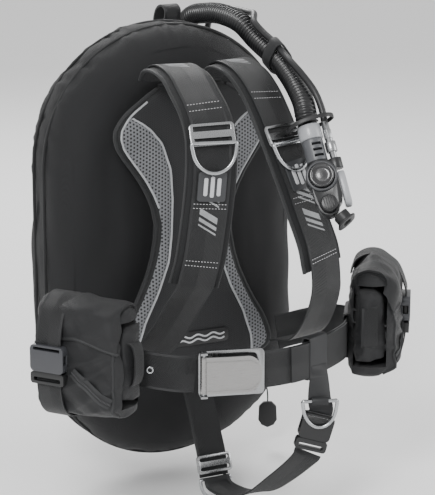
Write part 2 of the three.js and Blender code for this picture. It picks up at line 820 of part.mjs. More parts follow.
const CLIP_UP = v(0.24, -0.14, 0.96).normalize();
const CROTCH_CLIP = v(80, -326, -236);
const crotchClipFrame = frameAt(CROTCH_CLIP, v(0.92, -0.36, 0), CLIP_UP);
const onCrotchClip = (x, y, z) => v(x, y, z).applyMatrix4(crotchClipFrame);
part(
  "crotch_strap_front",
  strip(
    [
      v(0, -191.8, -337), v(0, -194, -346), v(9, -222, -352), v(30, -256, -343), v(48, -288, -316),
      onCrotchClip(-1, -CLIP_SOCKET / 2 - 27, 0), onCrotchClip(0, -CLIP_SOCKET / 2 - 20, 0),
    ],
    [v(1, 0, 0), v(0.98, -0.15, 0.1), v(0.95, -0.3, 0.05), v(0.92, -0.36, 0)],
    rectangle(POCKET_WEBBING_WIDTH, WEBBING_THICKNESS),
    18,
  ),
  WEBBING,
  0.85,
);
part("crotch_socket", placed(clipSocket(44), crotchClipFrame), BLACK_PLASTIC, 0.45);
part("crotch_plug", placed(clipPlug(44), crotchClipFrame), BLACK_PLASTIC, 0.45);

const FRONT_RING = v(79, -337.2, -197);
const frontRingFrame = frameAt(FRONT_RING, v(0.92, -0.36, 0), Z_AXIS);
part(
  "crotch_ring_front",
  placed(dRing(CROTCH_RING_WIDTH, 42), frontRingFrame),
  STEEL,
  0.25,
  1,
);

// The loop that carries the front ring hangs on the belt: a webbing sleeve round it, a tail down to
// the buckle, and a fold in front of the tail that holds the ring's bar.
const LOOP_AT = v(80, -319.6, -138.5);
const loopFrame = frameAt(LOOP_AT, v(-0.398, 0.917, 0), Z_AXIS); // Z lies along the belt
const LOOP_ROOM = 5; // play round the belt
const LOOP_WALL = 2.2;
const LOOP_TAIL_WIDTH = 32;
const LOOP_FOLD_LENGTH = 22;
const ringBar = frameAt(FRONT_RING, Z_AXIS, v(0.36, 0.92, 0)); // Z lies along the ring's bar
function sleeveOutline(off) {
  const depth = WEBBING_THICKNESS * 2 + LOOP_ROOM + 2 * off;
  return roundRectangle(depth, WEBBING_WIDTH + LOOP_ROOM + 2 * off, 2 + off, 2);
}
part(
  "crotch_belt_loop",
  cut(
    join(
      placed(plate(sleeveOutline(LOOP_WALL), POCKET_WEBBING_WIDTH, [sleeveOutline(0)]), loopFrame),
      strip(
        [
          v(82.7, -325.7, -150), v(82, -329.2, -175), v(81, -332.5, -197),
          onCrotchClip(0, CLIP_SOCKET / 2 + 7, 0), onCrotchClip(0, CLIP_SOCKET / 2 + 1.2, 0),
        ],
        [v(0.92, 0.4, 0), v(0.92, 0, 0), v(0.92, -0.36, 0), v(0.9, -0.34, -0.27)],
        rectangle(LOOP_TAIL_WIDTH, WEBBING_THICKNESS),
        12,
      ),
      placed(rod(RING_WIRE / 2 + 3, LOOP_FOLD_LENGTH, 14), ringBar),
    ),
    placed(rod(RING_WIRE / 2 + 2 * GAP, 50, 14), ringBar),
  ),
  WEBBING,
  0.85,
);

// ---------------------------------------------------------------- hoses

const elbowArc = [0, 0.25, 0.5, 0.75, 1].map((t) => {
  const a = (t * Math.PI) / 2;
  return v(PORT.x, PORT.y + 8 + ELBOW_BEND * Math.sin(a), PORT.z + ELBOW_BEND * (1 - Math.cos(a)));
});
const elbowEnd = elbowArc[elbowArc.length - 1];
part(
  "hose_elbow",
  strip(
    [v(PORT.x, PORT.y + 5.4, PORT.z), ...elbowArc, v(elbowEnd.x, elbowEnd.y, elbowEnd.z + 10)],
    X_AXIS,
    circle(14, 12),
    12,
  ),
  BLACK_PLASTIC,
  0.45,
);
part(
  "elbow_flange",
  placed(rod(27, 3.6, 24), frameAt(v(PORT.x, PORT.y + 2.2, PORT.z), X_AXIS, Z_AXIS)),
  BLACK_PLASTIC,
  0.5,
);

// The corrugated hose rises from the elbow, arches over the cell's top and comes down in front of
// the wearer's left shoulder.
const TALLER = CELL_TOP_Z - 278; // the routes below are for a cell whose top is at 278
const THICKER = HOSE_RADIUS - 15; // and for a hose of 15
const overCell = ([x, y, z]) => v(x, y, z + TALLER * Math.min(1, Math.max(0, (z - 200) / 20)));
const ahead = v(-0.467, -0.764, 0.446).multiplyScalar(THICKER); // keeps the inflator clear of the strap
const HOSE_ROUTE = [
  [85, 71, 247.6], [85, 71, 256], [88, 53, 273], [91, 12, 282], [91, -35, 286], [92, -90, 280],
  [95, -129, 262], [97, -181, 243], [92, -233, 222], [83, -278, 199], [76.5, -297, 184.5],
  [75.5, -303.4, 172.9],
].map((p) => (p[2] < 190 ? overCell(p).add(ahead) : overCell(p)));
const hoseLine = new THREE.CatmullRomCurve3(HOSE_ROUTE, false, "centripetal");
part("corrugated_hose", tube(HOSE_ROUTE, HOSE_RADIUS, 12, 24), RUBBER, 0.6);

// The feed hose runs from the quick coupling up over the corrugated hose, and hangs down behind.
// It keeps its distance from that hose's surface, down to where it hangs free.
const besideHose = (point) => {
  const near = hoseLine.getSpacedPoints(200).reduce((best, other) =>
    other.distanceTo(point) < best.distanceTo(point) ? other : best,
  );
  return point.clone().addScaledVector(point.clone().sub(near).normalize(), THICKER);
};
const FEED_ROUTE = [
  [95, -312.4, 178.3], [96, -305, 192], [93, -291, 214], [89, -266, 233], [88, -238, 246],
  [91, -211, 254], [92.5, -182, 265.5], [91.5, -152, 276], [92, -128, 286.5], [105, -103, 294],
  [112, -75, 292], [113, -35, 291.5], [113, 10, 287], [114, 42, 272], [117, 60, 245], [119, 66, 200],
  [120, 65, 150], [120, 64, 104], [120, 64, 66],
].map((p, i) => (i < 14 ? besideHose(overCell(p)) : overCell(p)));
FEED_ROUTE.slice(0, 2).forEach((point) => point.add(ahead));
part("feed_hose", tube(FEED_ROUTE, FEED_HOSE_RADIUS, 8, 44), RUBBER, 0.5);
part(
  "feed_hose_fitting",
  shifted(
    join(rod(7.5, 9, 6), shifted(rod(5.6, 18, 12), 0, 0, 6), shifted(rod(4.8, 14, 12), 0, 0, -9)),
    120,
    64,
    50.4,
  ),
  STEEL,
  0.3,
  1,
);

// Outline round two circles, the first at the origin and the second along +X.
function aroundTwo(radiusA, radiusB, distance, off) {
  const tilt = Math.acos((radiusA - radiusB) / distance);
  const points = [];
  for (let i = 0; i <= 8; i += 1) {
    const a = -tilt + (i / 8) * 2 * tilt;
    points.push([distance + (radiusB + off) * Math.cos(a), (radiusB + off) * Math.sin(a)]);
  }
  for (let i = 0; i <= 14; i += 1) {
    const a = tilt + (i / 14) * (2 * Math.PI - 2 * tilt);
    points.push([(radiusA + off) * Math.cos(a), (radiusA + off) * Math.sin(a)]);
  }
  return points;
}

// A keeper strap holds the two hoses together part of the way down.
const KEEPER_RUN = 279.4; // along the corrugated hose from the elbow
const KEEPER_WIDTH = 20;
const KEEPER_THICKNESS = 2;
const feedLine = new THREE.CatmullRomCurve3(FEED_ROUTE, false, "centripetal");
const keeperAt = hoseLine.getPointAt(KEEPER_RUN / hoseLine.getLength());
const keeperAlong = hoseLine.getTangentAt(KEEPER_RUN / hoseLine.getLength());
const nearest = feedLine.getSpacedPoints(300).reduce((best, point) =>
  point.distanceTo(keeperAt) < best.distanceTo(keeperAt) ? point : best,
);
const keeperAcross = nearest.clone().sub(keeperAt);
keeperAcross.addScaledVector(keeperAlong, -keeperAcross.dot(keeperAlong));
const hoseSpacing = keeperAcross.length();
const keeperOutline = (off) => aroundTwo(HOSE_RADIUS, FEED_HOSE_RADIUS, hoseSpacing, off);
const KEEPER_PLAY = 1.4; // room inside it for the hoses' curve
part(
  "hose_keeper",
  placed(
    plate(keeperOutline(KEEPER_PLAY + KEEPER_THICKNESS), KEEPER_WIDTH, [keeperOutline(KEEPER_PLAY)]),
    frameAt(keeperAt, keeperAcross, keeperAlong.clone().cross(keeperAcross)),
  ),
  WEBBING,
  0.8,
);

// ---------------------------------------------------------------- inflator

// Its own frame: Y up along the hose, Z towards the buttons' faces, X to the wearer's left.
const INFLATOR_AT = v(75.5, -304, 172).add(ahead);
const inflatorUp = v(0, 0.504, 0.864).normalize();
const inflatorFrame = frameAt(INFLATOR_AT, v(0.885, -0.404, 0.235), inflatorUp);
const onInflator = (geometry) => placed(geometry, inflatorFrame);

const cuff = shifted(standingRod(HOSE_RADIUS + 0.5, 20, 16), 0, -10.4, 0);
part("hose_cuff", onInflator(cuff), SILVER_PLASTIC, 0.4, 0.4);
part(
  "inflator_cage",
  onInflator(
    cut(
      shifted(standingRod(HOSE_RADIUS - 1, 29.6, 16), 0, -35.6, 0),
      ...[-28, -36, -44].map((y) => shifted(box(12, 3.4, 30), 4, y, 12)),
    ),
  ),
  GREY_PLASTIC,
  0.5,
);

const BUTTON_Y = -73;
const DEFLATE_Y = -112;
const BUTTON_RADIUS = 16;
const DEFLATE_RADIUS = 11;
const COUPLING_X = HOSE_RADIUS + 7;
const BODY_DEPTH = 26;
const BODY_FRONT = BODY_DEPTH / 2 + 1; // middle of the bores that take the buttons
const body = join(
  shifted(plate(roundRectangle(36, 60, 10), BODY_DEPTH), 2, -84, 0),
  shifted(standingRod(15, 30, 16), 0, -66.5, 0),
  shifted(rod(BUTTON_RADIUS + 5, BODY_DEPTH, 24), 0, BUTTON_Y, 0),
  shifted(rod(DEFLATE_RADIUS + 3, BODY_DEPTH, 20), 0, DEFLATE_Y, 0),
  shifted(standingRod(9.4, 14, 14), COUPLING_X, -58.6, 0),
);
const buttonBore = shifted(rod(BUTTON_RADIUS + GAP, 12, 24), 0, BUTTON_Y, BODY_FRONT);
const deflateBore = shifted(rod(DEFLATE_RADIUS + GAP, 12, 20), 0, DEFLATE_Y, BODY_FRONT);
const nippleRoom = shifted(standingRod(5.2, 12, 14), COUPLING_X, -52, 0);
const COVER_X = 20;
const coverRoom = shifted(box(14, 66, 60), COVER_X + 7.6, -98.4, 0);
const bodyGeometry = cut(body, buttonBore, deflateBore, nippleRoom, coverRoom);
part("inflator_body", onInflator(bodyGeometry), BLACK_PLASTIC, 0.45);
const sideways = frameAt(v(COVER_X + 5.6, -94, 0), Z_AXIS, Y_AXIS);
part(
  "inflator_cover",
  onInflator(placed(plate(roundRectangle(30, 48, 10), 9), sideways)),
  SILVER_PLASTIC,
  0.35,
  0.5,
);
const inflateButton = shifted(rod(BUTTON_RADIUS, 10, 24), 0, BUTTON_Y, BODY_FRONT + 2.4);
part("inflate_button", onInflator(inflateButton), BLACK_PLASTIC, 0.3);
const deflateButton = shifted(rod(DEFLATE_RADIUS, 12, 20), 0, DEFLATE_Y, BODY_FRONT + 4.2);
part("deflate_button", onInflator(deflateButton), BLACK_PLASTIC, 0.4);

const mouthFrame = frameAt(v(14, -130, -4), Z_AXIS, v(-0.45, 0.89, 0));
const lyingFlat = (y) => frameAt(v(0, y, 0), X_AXIS, Z_AXIS.clone().negate());
part(
  "mouthpiece",
  onInflator(
    placed(
      cut(
        join(
          placed(plate(roundRectangle(30, 20, 9), 12), lyingFlat(0)),
          placed(plate(roundRectangle(42, 27, 12), 3), lyingFlat(-7)),
        ),
        placed(plate(roundRectangle(20, 10, 4), 16), lyingFlat(-5)),
      ),
      mouthFrame,
    ),
  ),
  RUBBER,
  0.6,
);

// Quick coupling: a sleeve-locked socket on the feed hose that pushes onto the inflator's nipple.
part(
  "hose_coupling",
  onInflator(
    join(
      shifted(standingRod(4.6, 13, 14), COUPLING_X, -44.6, 0),
      shifted(standingRod(5, 16, 14), COUPLING_X, -31, 0),
      shifted(standingRod(6.2, 12, 6), COUPLING_X, -17.5, 0),
      shifted(standingRod(5, 12, 14), COUPLING_X, -6, 0),
    ),
  ),
  STEEL,
  0.3,
  1,
);
part(
  "coupling_collar",
  onInflator(
    cut(
      shifted(standingRod(7.4, 14, 18), COUPLING_X, -35, 0),
      shifted(standingRod(5.5, 16, 14), COUPLING_X, -35, 0),
    ),
  ),
  STEEL,
  0.3,
  1,
);

// An elastic ring ties the hose's lower end to the left shoulder strap.
const tieRoute = [
  [-26, -3, 8], [-12, 1, 19], [8, 3, 20], [28, 4, 14], [35, 4, 0], [26, 2, -12], [6, 0, -18],
  [-14, -2, -17], [-27, -4, -4],
].map(([x, y, z]) => {
  const wider = 1 + THICKER / Math.hypot(x, z);
  return v(x * wider, y + 1.5, z * wider);
});
part("retaining_ring", onInflator(strip(tieRoute, Y_AXIS, rectangle(5, 2), 30, true)), RUBBER, 0.6);

// ---------------------------------------------------------------- dump valve

const dumpFrame = frameAt(DUMP, X_AXIS.clone().negate(), Z_AXIS); // Z points away from the cell
part(
  "dump_valve",
  placed(
    cut(
      join(
        shifted(rod(DUMP_RADIUS, 5, 24), 0, 0, 3),
        shifted(new THREE.CylinderGeometry(20, 26, 9, 20).rotateX(Math.PI / 2), 0, 0, 9.5),
      ),
      shifted(rod(8.4, 12, 16), 0, 0, 14),
    ),
    dumpFrame,
  ),
  BLACK_PLASTIC,
  0.5,
);
part("dump_plunger", placed(shifted(rod(8, 7, 16), 0, 0, 12.8), dumpFrame), BLACK_PLASTIC, 0.4);

const CORD_RADIUS = 1.1;
part(
  "dump_cord",
  tube(
    [
      [135, 59.5, -18], [147, 46, -31], [160, 24, -41], [172, 2, -48], [179, -11, -57],
      [180, -15, -70], [180, -15, -80.4],
    ].map(([x, y, drop]) => v(x, y, DUMP.z + drop)),
    CORD_RADIUS,
    6,
    14,
  ),
  WEBBING,
  0.8,
);
part(
  "dump_toggle",
  placed(
    plate(bothSides([[0, 20], [6, 20], [13, 13], [14, -8], [9, -16], [0, -20]]), 8),
    frameAt(TOGGLE, v(0.9, -0.44, 0), Z_AXIS),
  ),
  RUBBER,
  0.6,
);

export default assembly;
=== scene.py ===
# %% [markdown]
# # A back-inflation dive vest
#
# The vest is an oval air cell, a padded backplate, a webbing harness with steel fittings, two weight
# pockets, and an inflator on a ribbed hose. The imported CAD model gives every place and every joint.
# This script puts the looks round it. We keep the model's box from straight after loading, because
# the finished vest has to stay close to it.

# %% Load the frame
import json
import math

import bmesh
import bpy
from mathutils import Matrix, Vector, noise

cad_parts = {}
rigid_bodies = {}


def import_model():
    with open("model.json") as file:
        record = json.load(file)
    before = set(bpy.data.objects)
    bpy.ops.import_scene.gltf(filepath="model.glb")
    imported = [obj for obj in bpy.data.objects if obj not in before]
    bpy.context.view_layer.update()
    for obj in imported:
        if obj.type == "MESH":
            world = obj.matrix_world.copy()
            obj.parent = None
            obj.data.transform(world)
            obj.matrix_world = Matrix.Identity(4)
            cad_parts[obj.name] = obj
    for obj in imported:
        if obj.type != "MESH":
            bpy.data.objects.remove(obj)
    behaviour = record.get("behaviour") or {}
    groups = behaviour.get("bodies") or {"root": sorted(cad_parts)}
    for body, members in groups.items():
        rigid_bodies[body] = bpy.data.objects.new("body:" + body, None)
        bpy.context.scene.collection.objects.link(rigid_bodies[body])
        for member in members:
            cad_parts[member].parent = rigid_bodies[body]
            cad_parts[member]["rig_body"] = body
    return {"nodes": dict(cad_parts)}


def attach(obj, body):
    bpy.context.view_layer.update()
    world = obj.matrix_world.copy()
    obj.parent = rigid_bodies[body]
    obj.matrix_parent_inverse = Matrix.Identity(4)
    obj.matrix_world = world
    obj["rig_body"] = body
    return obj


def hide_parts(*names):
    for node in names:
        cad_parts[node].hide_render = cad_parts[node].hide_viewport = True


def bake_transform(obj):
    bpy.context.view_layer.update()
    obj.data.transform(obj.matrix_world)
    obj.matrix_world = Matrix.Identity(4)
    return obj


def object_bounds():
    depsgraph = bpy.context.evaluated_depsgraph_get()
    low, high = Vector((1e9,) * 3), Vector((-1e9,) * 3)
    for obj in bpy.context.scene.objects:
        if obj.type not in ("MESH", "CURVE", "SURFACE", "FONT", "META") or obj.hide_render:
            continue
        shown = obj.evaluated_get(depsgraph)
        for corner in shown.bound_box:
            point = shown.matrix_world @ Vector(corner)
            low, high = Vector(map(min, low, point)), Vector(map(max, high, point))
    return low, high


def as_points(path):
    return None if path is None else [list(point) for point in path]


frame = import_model()
cad_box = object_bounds()

# %% [markdown]
# ## Camera
#
# A long lens from three metres keeps the upright lines parallel. The camera stands to the wearer's
# right and a little above, and looks at a point in the middle of the vest. We build its place from
# two angles, so that each can be changed on its own.

# %% Camera
CAMERA_AZIMUTH = math.radians(-28)
CAMERA_ELEVATION = math.radians(14)
CAMERA_DISTANCE = 3.0
LOOK_AT = Vector((0.0396, -0.1187, -0.0284))

towards_camera = Vector((
    math.sin(CAMERA_AZIMUTH) * math.cos(CAMERA_ELEVATION),
    -math.cos(CAMERA_AZIMUTH) * math.cos(CAMERA_ELEVATION),
    math.sin(CAMERA_ELEVATION),
))
bpy.ops.object.camera_add(location=LOOK_AT + CAMERA_DISTANCE * towards_camera)
camera = bpy.context.object
camera.rotation_euler = towards_camera.to_track_quat("Z", "Y").to_euler()
camera.data.sensor_fit = "HORIZONTAL"
camera.data.sensor_width = 36
camera.data.lens = 177.34
bpy.context.scene.camera = camera
print("camera at", tuple(round(c, 3) for c in camera.location))

# %% [markdown]
# ## Smooth routes
#
# Straps and hoses follow smooth lines through a few points. The curve below is a centripetal
# Catmull-Rom spline: it passes through each point and doesn't loop or overshoot where points are
# close together. Points are written in millimetres, which read better than long decimals.

# %% Routes
def spot(x, y, z):
    """A point given in millimetres, in metres."""
    return Vector((x, y, z)) / 1000


def stand(origin, x, y, z):
    """A matrix from a place in metres and three directions."""
    return Matrix.Translation(origin) @ Matrix((x, y, z)).transposed().to_4x4()


class Route:
    def __init__(self, points, closed=False):
        self.points = [p if isinstance(p, Vector) else spot(*p) for p in points]
        self.closed = closed

    def point(self, t):
        points, n = self.points, len(self.points)
        place = min(max(t, 0.0), 1.0) * (n if self.closed else n - 1)
        i = min(math.floor(place), n - 1 if self.closed else n - 2)
        w = place - i
        p1, p2 = points[i % n], points[(i + 1) % n]
        p0 = points[i - 1] if self.closed or i > 0 else 2 * p1 - p2
        p3 = points[(i + 2) % n] if self.closed or i + 2 < n else 2 * p2 - p1
        d0, d1, d2 = (max((b - a).length, 1e-7) ** 0.5 for a, b in ((p0, p1), (p1, p2), (p2, p3)))
        m1 = ((p1 - p0) / d0 - (p2 - p0) / (d0 + d1) + (p2 - p1) / d1) * d1
        m2 = ((p2 - p1) / d1 - (p3 - p1) / (d1 + d2) + (p3 - p2) / d2) * d1
        c2, c3 = -3 * p1 + 3 * p2 - 2 * m1 - m2, 2 * p1 - 2 * p2 + m1 + m2
        return p1 + m1 * w + c2 * w ** 2 + c3 * w ** 3

    def tangent(self, t):
        if self.closed:
            step = self.point((t + 1e-3) % 1) - self.point((t - 1e-3) % 1)
        else:
            step = self.point(t + 1e-3) - self.point(t - 1e-3)
        return step.normalized()

    def spaced(self, count):
        """Shares t at equal distances along the line."""
        fine = [self.point(i / 600) for i in range(601)]
        run = [0.0]
        for a, b in zip(fine, fine[1:]):
            run.append(run[-1] + (b - a).length)
        shares, k = [], 0
        for i in range(count + 1):
            goal = run[-1] * i / count
            while k < 599 and run[k + 1] < goal:
                k += 1
            gap = run[k + 1] - run[k]
            shares.append((k + (goal - run[k]) / gap) / 600 if gap else k / 600)
        return shares


# %% [markdown]
# ## One tool for everything that is laid along a route
#
# A primitive grid is bent onto the route: its X runs across or around the piece, its Y along it.
# With wrap the two long sides meet and make a tube, with ring the two ends meet too. The grid brings
# a UV map, which we stretch to metres, so that a weave keeps its real size on every strap.

# %% Bending a grid onto a route
def deselect():
    if bpy.context.object and bpy.context.object.mode != "OBJECT":
        bpy.ops.object.mode_set(mode="OBJECT")
    bpy.ops.object.select_all(action="DESELECT")


def choose(piece):
    deselect()
    piece.select_set(True)
    bpy.context.view_layer.objects.active = piece


def edit(piece, *steps):
    """Runs edit-mode steps on the whole mesh."""
    choose(piece)
    bpy.ops.object.mode_set(mode="EDIT")
    bpy.ops.mesh.select_all(action="SELECT")
    for step in steps:
        step()
    bpy.ops.object.mode_set(mode="OBJECT")


def weld(distance=1e-6):
    return lambda: bpy.ops.mesh.remove_doubles(threshold=distance)


def close_ends():
    bpy.ops.mesh.fill_holes(sides=0)


def face_out():
    bpy.ops.mesh.select_all(action="SELECT")
    bpy.ops.mesh.normals_make_consistent(inside=False)


def grid(name, columns, rows):
    deselect()
    bpy.ops.mesh.primitive_grid_add(x_subdivisions=columns, y_subdivisions=rows, size=1)
    piece = bpy.context.object
    piece.name = name
    piece.data.uv_layers[0].name = "laid"
    return piece


def bend(name, columns, rows, place, wrap=False, ring=False, size=(1, 1)):
    """A grid whose point (s, t) goes to place(s, t). Its UV map runs to size, in metres."""
    piece = grid(name, columns, rows)
    for corner in piece.data.uv_layers["laid"].data:
        corner.uv = (corner.uv.x * size[0], corner.uv.y * size[1])
    for vertex in piece.data.vertices:
        s = round((vertex.co.x + 0.5) * columns) / columns
        t = round((vertex.co.y + 0.5) * rows) / rows
        vertex.co = place(s, t)
    if wrap or ring:
        edit(piece, weld(), *([] if ring else [close_ends]), face_out)
    return piece


def lay(name, route, across, shape, columns, rows, wrap=False):
    """Carries shape(s, t) = (sideways, outwards) along a route. across gives the sideways direction,
    or a list of directions spread evenly along the route."""
    shares = route.spaced(rows)
    if route.closed:
        shares[-1] = shares[0]
    directions = across if isinstance(across, list) else [across, across]
    stations = []
    for t in shares:
        place = t * (len(directions) - 1)
        k = min(int(place), len(directions) - 2)
        wide = directions[k].lerp(directions[k + 1], place - k)
        along = route.tangent(t)
        wide = (wide - along * wide.dot(along)).normalized()
        stations.append((route.point(t), wide, wide.cross(along).normalized()))
    length = sum((a[0] - b[0]).length for a, b in zip(stations, stations[1:]))
    edge = [Vector(shape(i / 24, 0.5)) for i in range(25)]
    girth = sum((a - b).length for a, b in zip(edge, edge[1:]))

    def place(s, t):
        centre, wide, out = stations[round(t * rows)]
        a, b = shape(s, t)
        return centre + wide * a + out * b

    return bend(name, columns, rows, place, wrap, route.closed, (girth, length))


def turned(name, profile, place, sides=40):
    """A round piece from its profile of (radius, height) in millimetres, about its own Z."""
    rows = len(profile) - 1

    def point(s, t):
        radius, height = profile[round(t * rows)]
        a = 2 * math.pi * s
        return place @ spot(radius * math.cos(a), radius * math.sin(a), height)

    return bend(name, sides, rows, point, wrap=True, size=(0.1, 0.05))


def round_section(radius):
    return lambda s, t: (radius * math.cos(2 * math.pi * s), radius * math.sin(2 * math.pi * s))


def flat_section(width, lift=0.0):
    return lambda s, t: (width * (s - 0.5), lift)


# %% [markdown]
# ## Modifiers and handing a piece over
#
# Each piece ends the same way: its modifiers are applied, its faces are shaded smooth below a
# corner angle, it gets a finish, and it rides on the body that carries its CAD node. Three forms come
# back all over the vest, so each has a helper of its own: flat ribbon, round cord, and a box cut out.

# %% Finishing helpers
def modifier(piece, kind, **settings):
    choose(piece)
    made = piece.modifiers.new(kind.title(), kind)
    for key, value in settings.items():
        setattr(made, key, value)
    bpy.ops.object.modifier_apply(modifier=made.name)
    return piece


def thicken(piece, thickness, offset=0.0):
    return modifier(piece, "SOLIDIFY", thickness=thickness, offset=offset, use_even_offset=True)


def soften(piece, width, segments=2, angle=35):
    return modifier(piece, "BEVEL", width=width, segments=segments, limit_method="ANGLE",
                    angle_limit=math.radians(angle), harden_normals=False)


def ribbon(name, route, across, width, thickness, columns, rows):
    """Flat webbing or tape along a route."""
    piece = lay(name, route, across, flat_section(width), columns, rows)
    if route.closed:
        edit(piece, weld())
    return thicken(piece, thickness)


def cording(name, route, across, radius, sides, rows):
    """A plain round cord, tube or wire along a route."""
    return lay(name, route, across, round_section(radius), sides, rows, wrap=True)


def cut_box(piece, centre, size):
    deselect()
    bpy.ops.mesh.primitive_cube_add(size=1)
    tool = bpy.context.object
    tool.data.transform(Matrix.Translation(centre) @ Matrix.Diagonal((*size, 1)))
    modifier(piece, "BOOLEAN", operation="DIFFERENCE", object=tool, solver="EXACT")
    bpy.data.objects.remove(tool)


def smooth(piece, levels=1):
    return modifier(piece, "SUBSURF", levels=levels, render_levels=levels)


def dress(piece, finish, nodes, angle=40):
    choose(piece)
    bpy.ops.object.shade_smooth_by_angle(angle=math.radians(angle))
    piece.data.materials.clear()
    piece.data.materials.append(finish.material)
    if nodes:
        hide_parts(*nodes)


def hand_over(piece, finish, body, slot, *nodes, angle=40):
    dress(piece, finish, nodes, angle)
    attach(piece, body)
    return piece


def hand_over_flexing(piece, finish, body, slot, start, end, *nodes):
    """For webbing that stays where it is laid: it gets its finish and its place is baked into its mesh."""
    dress(piece, finish, nodes)
    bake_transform(piece)


def join(name, pieces):
    deselect()
    for piece in pieces:
        piece.select_set(True)
    bpy.context.view_layer.objects.active = pieces[0]
    if len(pieces) > 1:
        bpy.ops.object.join()
    pieces[0].name = name
    return pieces[0]


def refine(node, name, finish, bevel, slot, angle=35, segments=2):
    """A copy of a hard CAD piece with its facets merged and its edges rounded."""
    source = frame["nodes"][node]
    piece = bpy.data.objects.new(name, source.data.copy())
    bpy.context.collection.objects.link(piece)
    edit(piece, weld(2e-5), lambda: bpy.ops.mesh.dissolve_limited(angle_limit=math.radians(2)))
    if bevel:
        soften(piece, bevel, segments, angle)
    return hand_over(piece, finish, source["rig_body"], slot, node, angle=32)


# %% [markdown]
# ## Writing materials as sums
#
# Shader maths is easier to read as an expression than as a chain of nodes. A Value stands for a
# socket, and its operators add the Math node. A Finish holds one material and adds every other node
# through one method. What is the same all over stays on the shader's own sockets.

# %% Material helpers
class Value:
    def __init__(self, finish, socket):
        self.finish, self.socket = finish, socket

    def maths(self, operation, *others):
        return self.finish.add("ShaderNodeMath", {"operation": operation}, [self, *others])

    def __add__(self, other):
        return self.maths("ADD", other)

    def __sub__(self, other):
        return self.maths("SUBTRACT", other)

    def __mul__(self, other):
        return self.maths("MULTIPLY", other)

    def __truediv__(self, other):
        return self.maths("DIVIDE", other)

    def __rsub__(self, other):
        return self * -1 + other

    def __gt__(self, other):
        return self.maths("GREATER_THAN", other)

    def __lt__(self, other):
        return self.maths("LESS_THAN", other)

    __radd__, __rmul__ = __add__, __mul__

    def wave(self, pitch):
        return (self * (2 * math.pi / pitch)).maths("SINE")

    def size(self):
        return self.maths("ABSOLUTE")

    def repeat(self, pitch):
        return (self / pitch).maths("FRACT") * pitch

    def within(self, low, high):
        """1 between two bounds, else 0."""
        return (self > low) * (self < high)


class Finish:
    def __init__(self, name, colour, roughness, metallic=0.0, **sockets):
        self.material = bpy.data.materials.new(name)
        self.material.use_nodes = True
        self.tree = self.material.node_tree
        self.shader = self.tree.nodes["Principled BSDF"]
        self.shader.inputs["Base Color"].default_value = (*colour, 1)
        self.shader.inputs["Roughness"].default_value = roughness
        self.shader.inputs["Metallic"].default_value = metallic
        for key, value in sockets.items():
            self.shader.inputs[key.replace("_", " ")].default_value = value

    def add(self, kind, settings, inputs, output=0):
        node = self.tree.nodes.new(kind)
        for key, value in settings.items():
            setattr(node, key, value)
        pairs = inputs.items() if isinstance(inputs, dict) else enumerate(inputs)
        for key, value in pairs:
            if isinstance(value, Value):
                self.tree.links.new(value.socket, node.inputs[key])
            else:
                node.inputs[key].default_value = value
        return Value(self, node.outputs[output])

    def feed(self, socket, value):
        self.tree.links.new(value.socket, self.shader.inputs[socket])

    def axes(self, vector):
        return [self.add("ShaderNodeSeparateXYZ", {}, [vector], k) for k in range(3)]

    def laid(self):
        """Across and along the piece, in metres."""
        return self.axes(self.add("ShaderNodeUVMap", {"uv_map": "laid"}, []))[:2]

    def place(self):
        return self.add("ShaderNodeTexCoord", {}, [], "Object")

    def attribute(self, name):
        return self.add("ShaderNodeAttribute", {"attribute_name": name}, [], "Fac")

    def noise(self, scale, detail=3.0, stretch=(1, 1, 1)):
        where = self.add("ShaderNodeMapping", {}, {"Vector": self.place(), "Scale": stretch})
        return self.add("ShaderNodeTexNoise", {}, {"Vector": where, "Scale": scale, "Detail": detail})

    def mix(self, share, low, high):
        colours = [c if isinstance(c, Value) else (*c, 1) for c in (low, high)]
        return self.add("ShaderNodeMixRGB", {}, {"Fac": share, "Color1": colours[0], "Color2": colours[1]})

    def bump(self, height, distance, strength=1.0):
        made = self.add("ShaderNodeBump", {}, {"Height": height, "Distance": distance, "Strength": strength})
        self.feed("Normal", made)


# %% [markdown]
# ## Fabric finishes
#
# Coated nylon is dark and dull, with a fine plain weave, a faint bloom in patches and a soft sheen at
# grazing angles. The weave is two crossed sine waves in the piece's own space.

# %% Fabrics
def nylon(name, dark, light, weave, roughness=0.72, crease=0.0):
    finish = Finish(name, dark, roughness, Sheen_Weight=0.06, Sheen_Roughness=0.5,
                    Specular_IOR_Level=0.32)
    x, y, z = finish.axes(finish.place())
    threads = (x + y).wave(weave) * (z + y * 0.5).wave(weave)
    patches = finish.noise(14, 5)
    finish.feed("Base Color", finish.mix(patches * 0.75 + threads * 0.14, dark, light))
    finish.feed("Roughness", patches * 0.18 + (roughness - 0.09))
    height = threads * 0.35 + finish.noise(420, 2) * 0.3
    if crease:
        folds = finish.noise(26, 3, (1, 1, 2.2))
        height = height + folds * crease
    finish.bump(height, 0.0006, 0.8)
    return finish


cell_cloth = nylon("cell_cloth", (0.0045, 0.0047, 0.0052), (0.0125, 0.013, 0.0145), 0.0013)
pocket_cloth = nylon("pocket_cloth", (0.0045, 0.0048, 0.0054), (0.014, 0.0145, 0.016), 0.0011, 0.46, 3.0)
pad_cloth = nylon("pad_cloth", (0.006, 0.0063, 0.007), (0.016, 0.0165, 0.018), 0.0012)

# %% [markdown]
# Webbing has a rib that runs across it and a herringbone of fine threads, with a tighter selvedge on
# each edge. The UV map says where we are across and along the strap, in metres. The shoulder webbing
# also carries groups of light slanted bars, woven in over the spans given as marks.

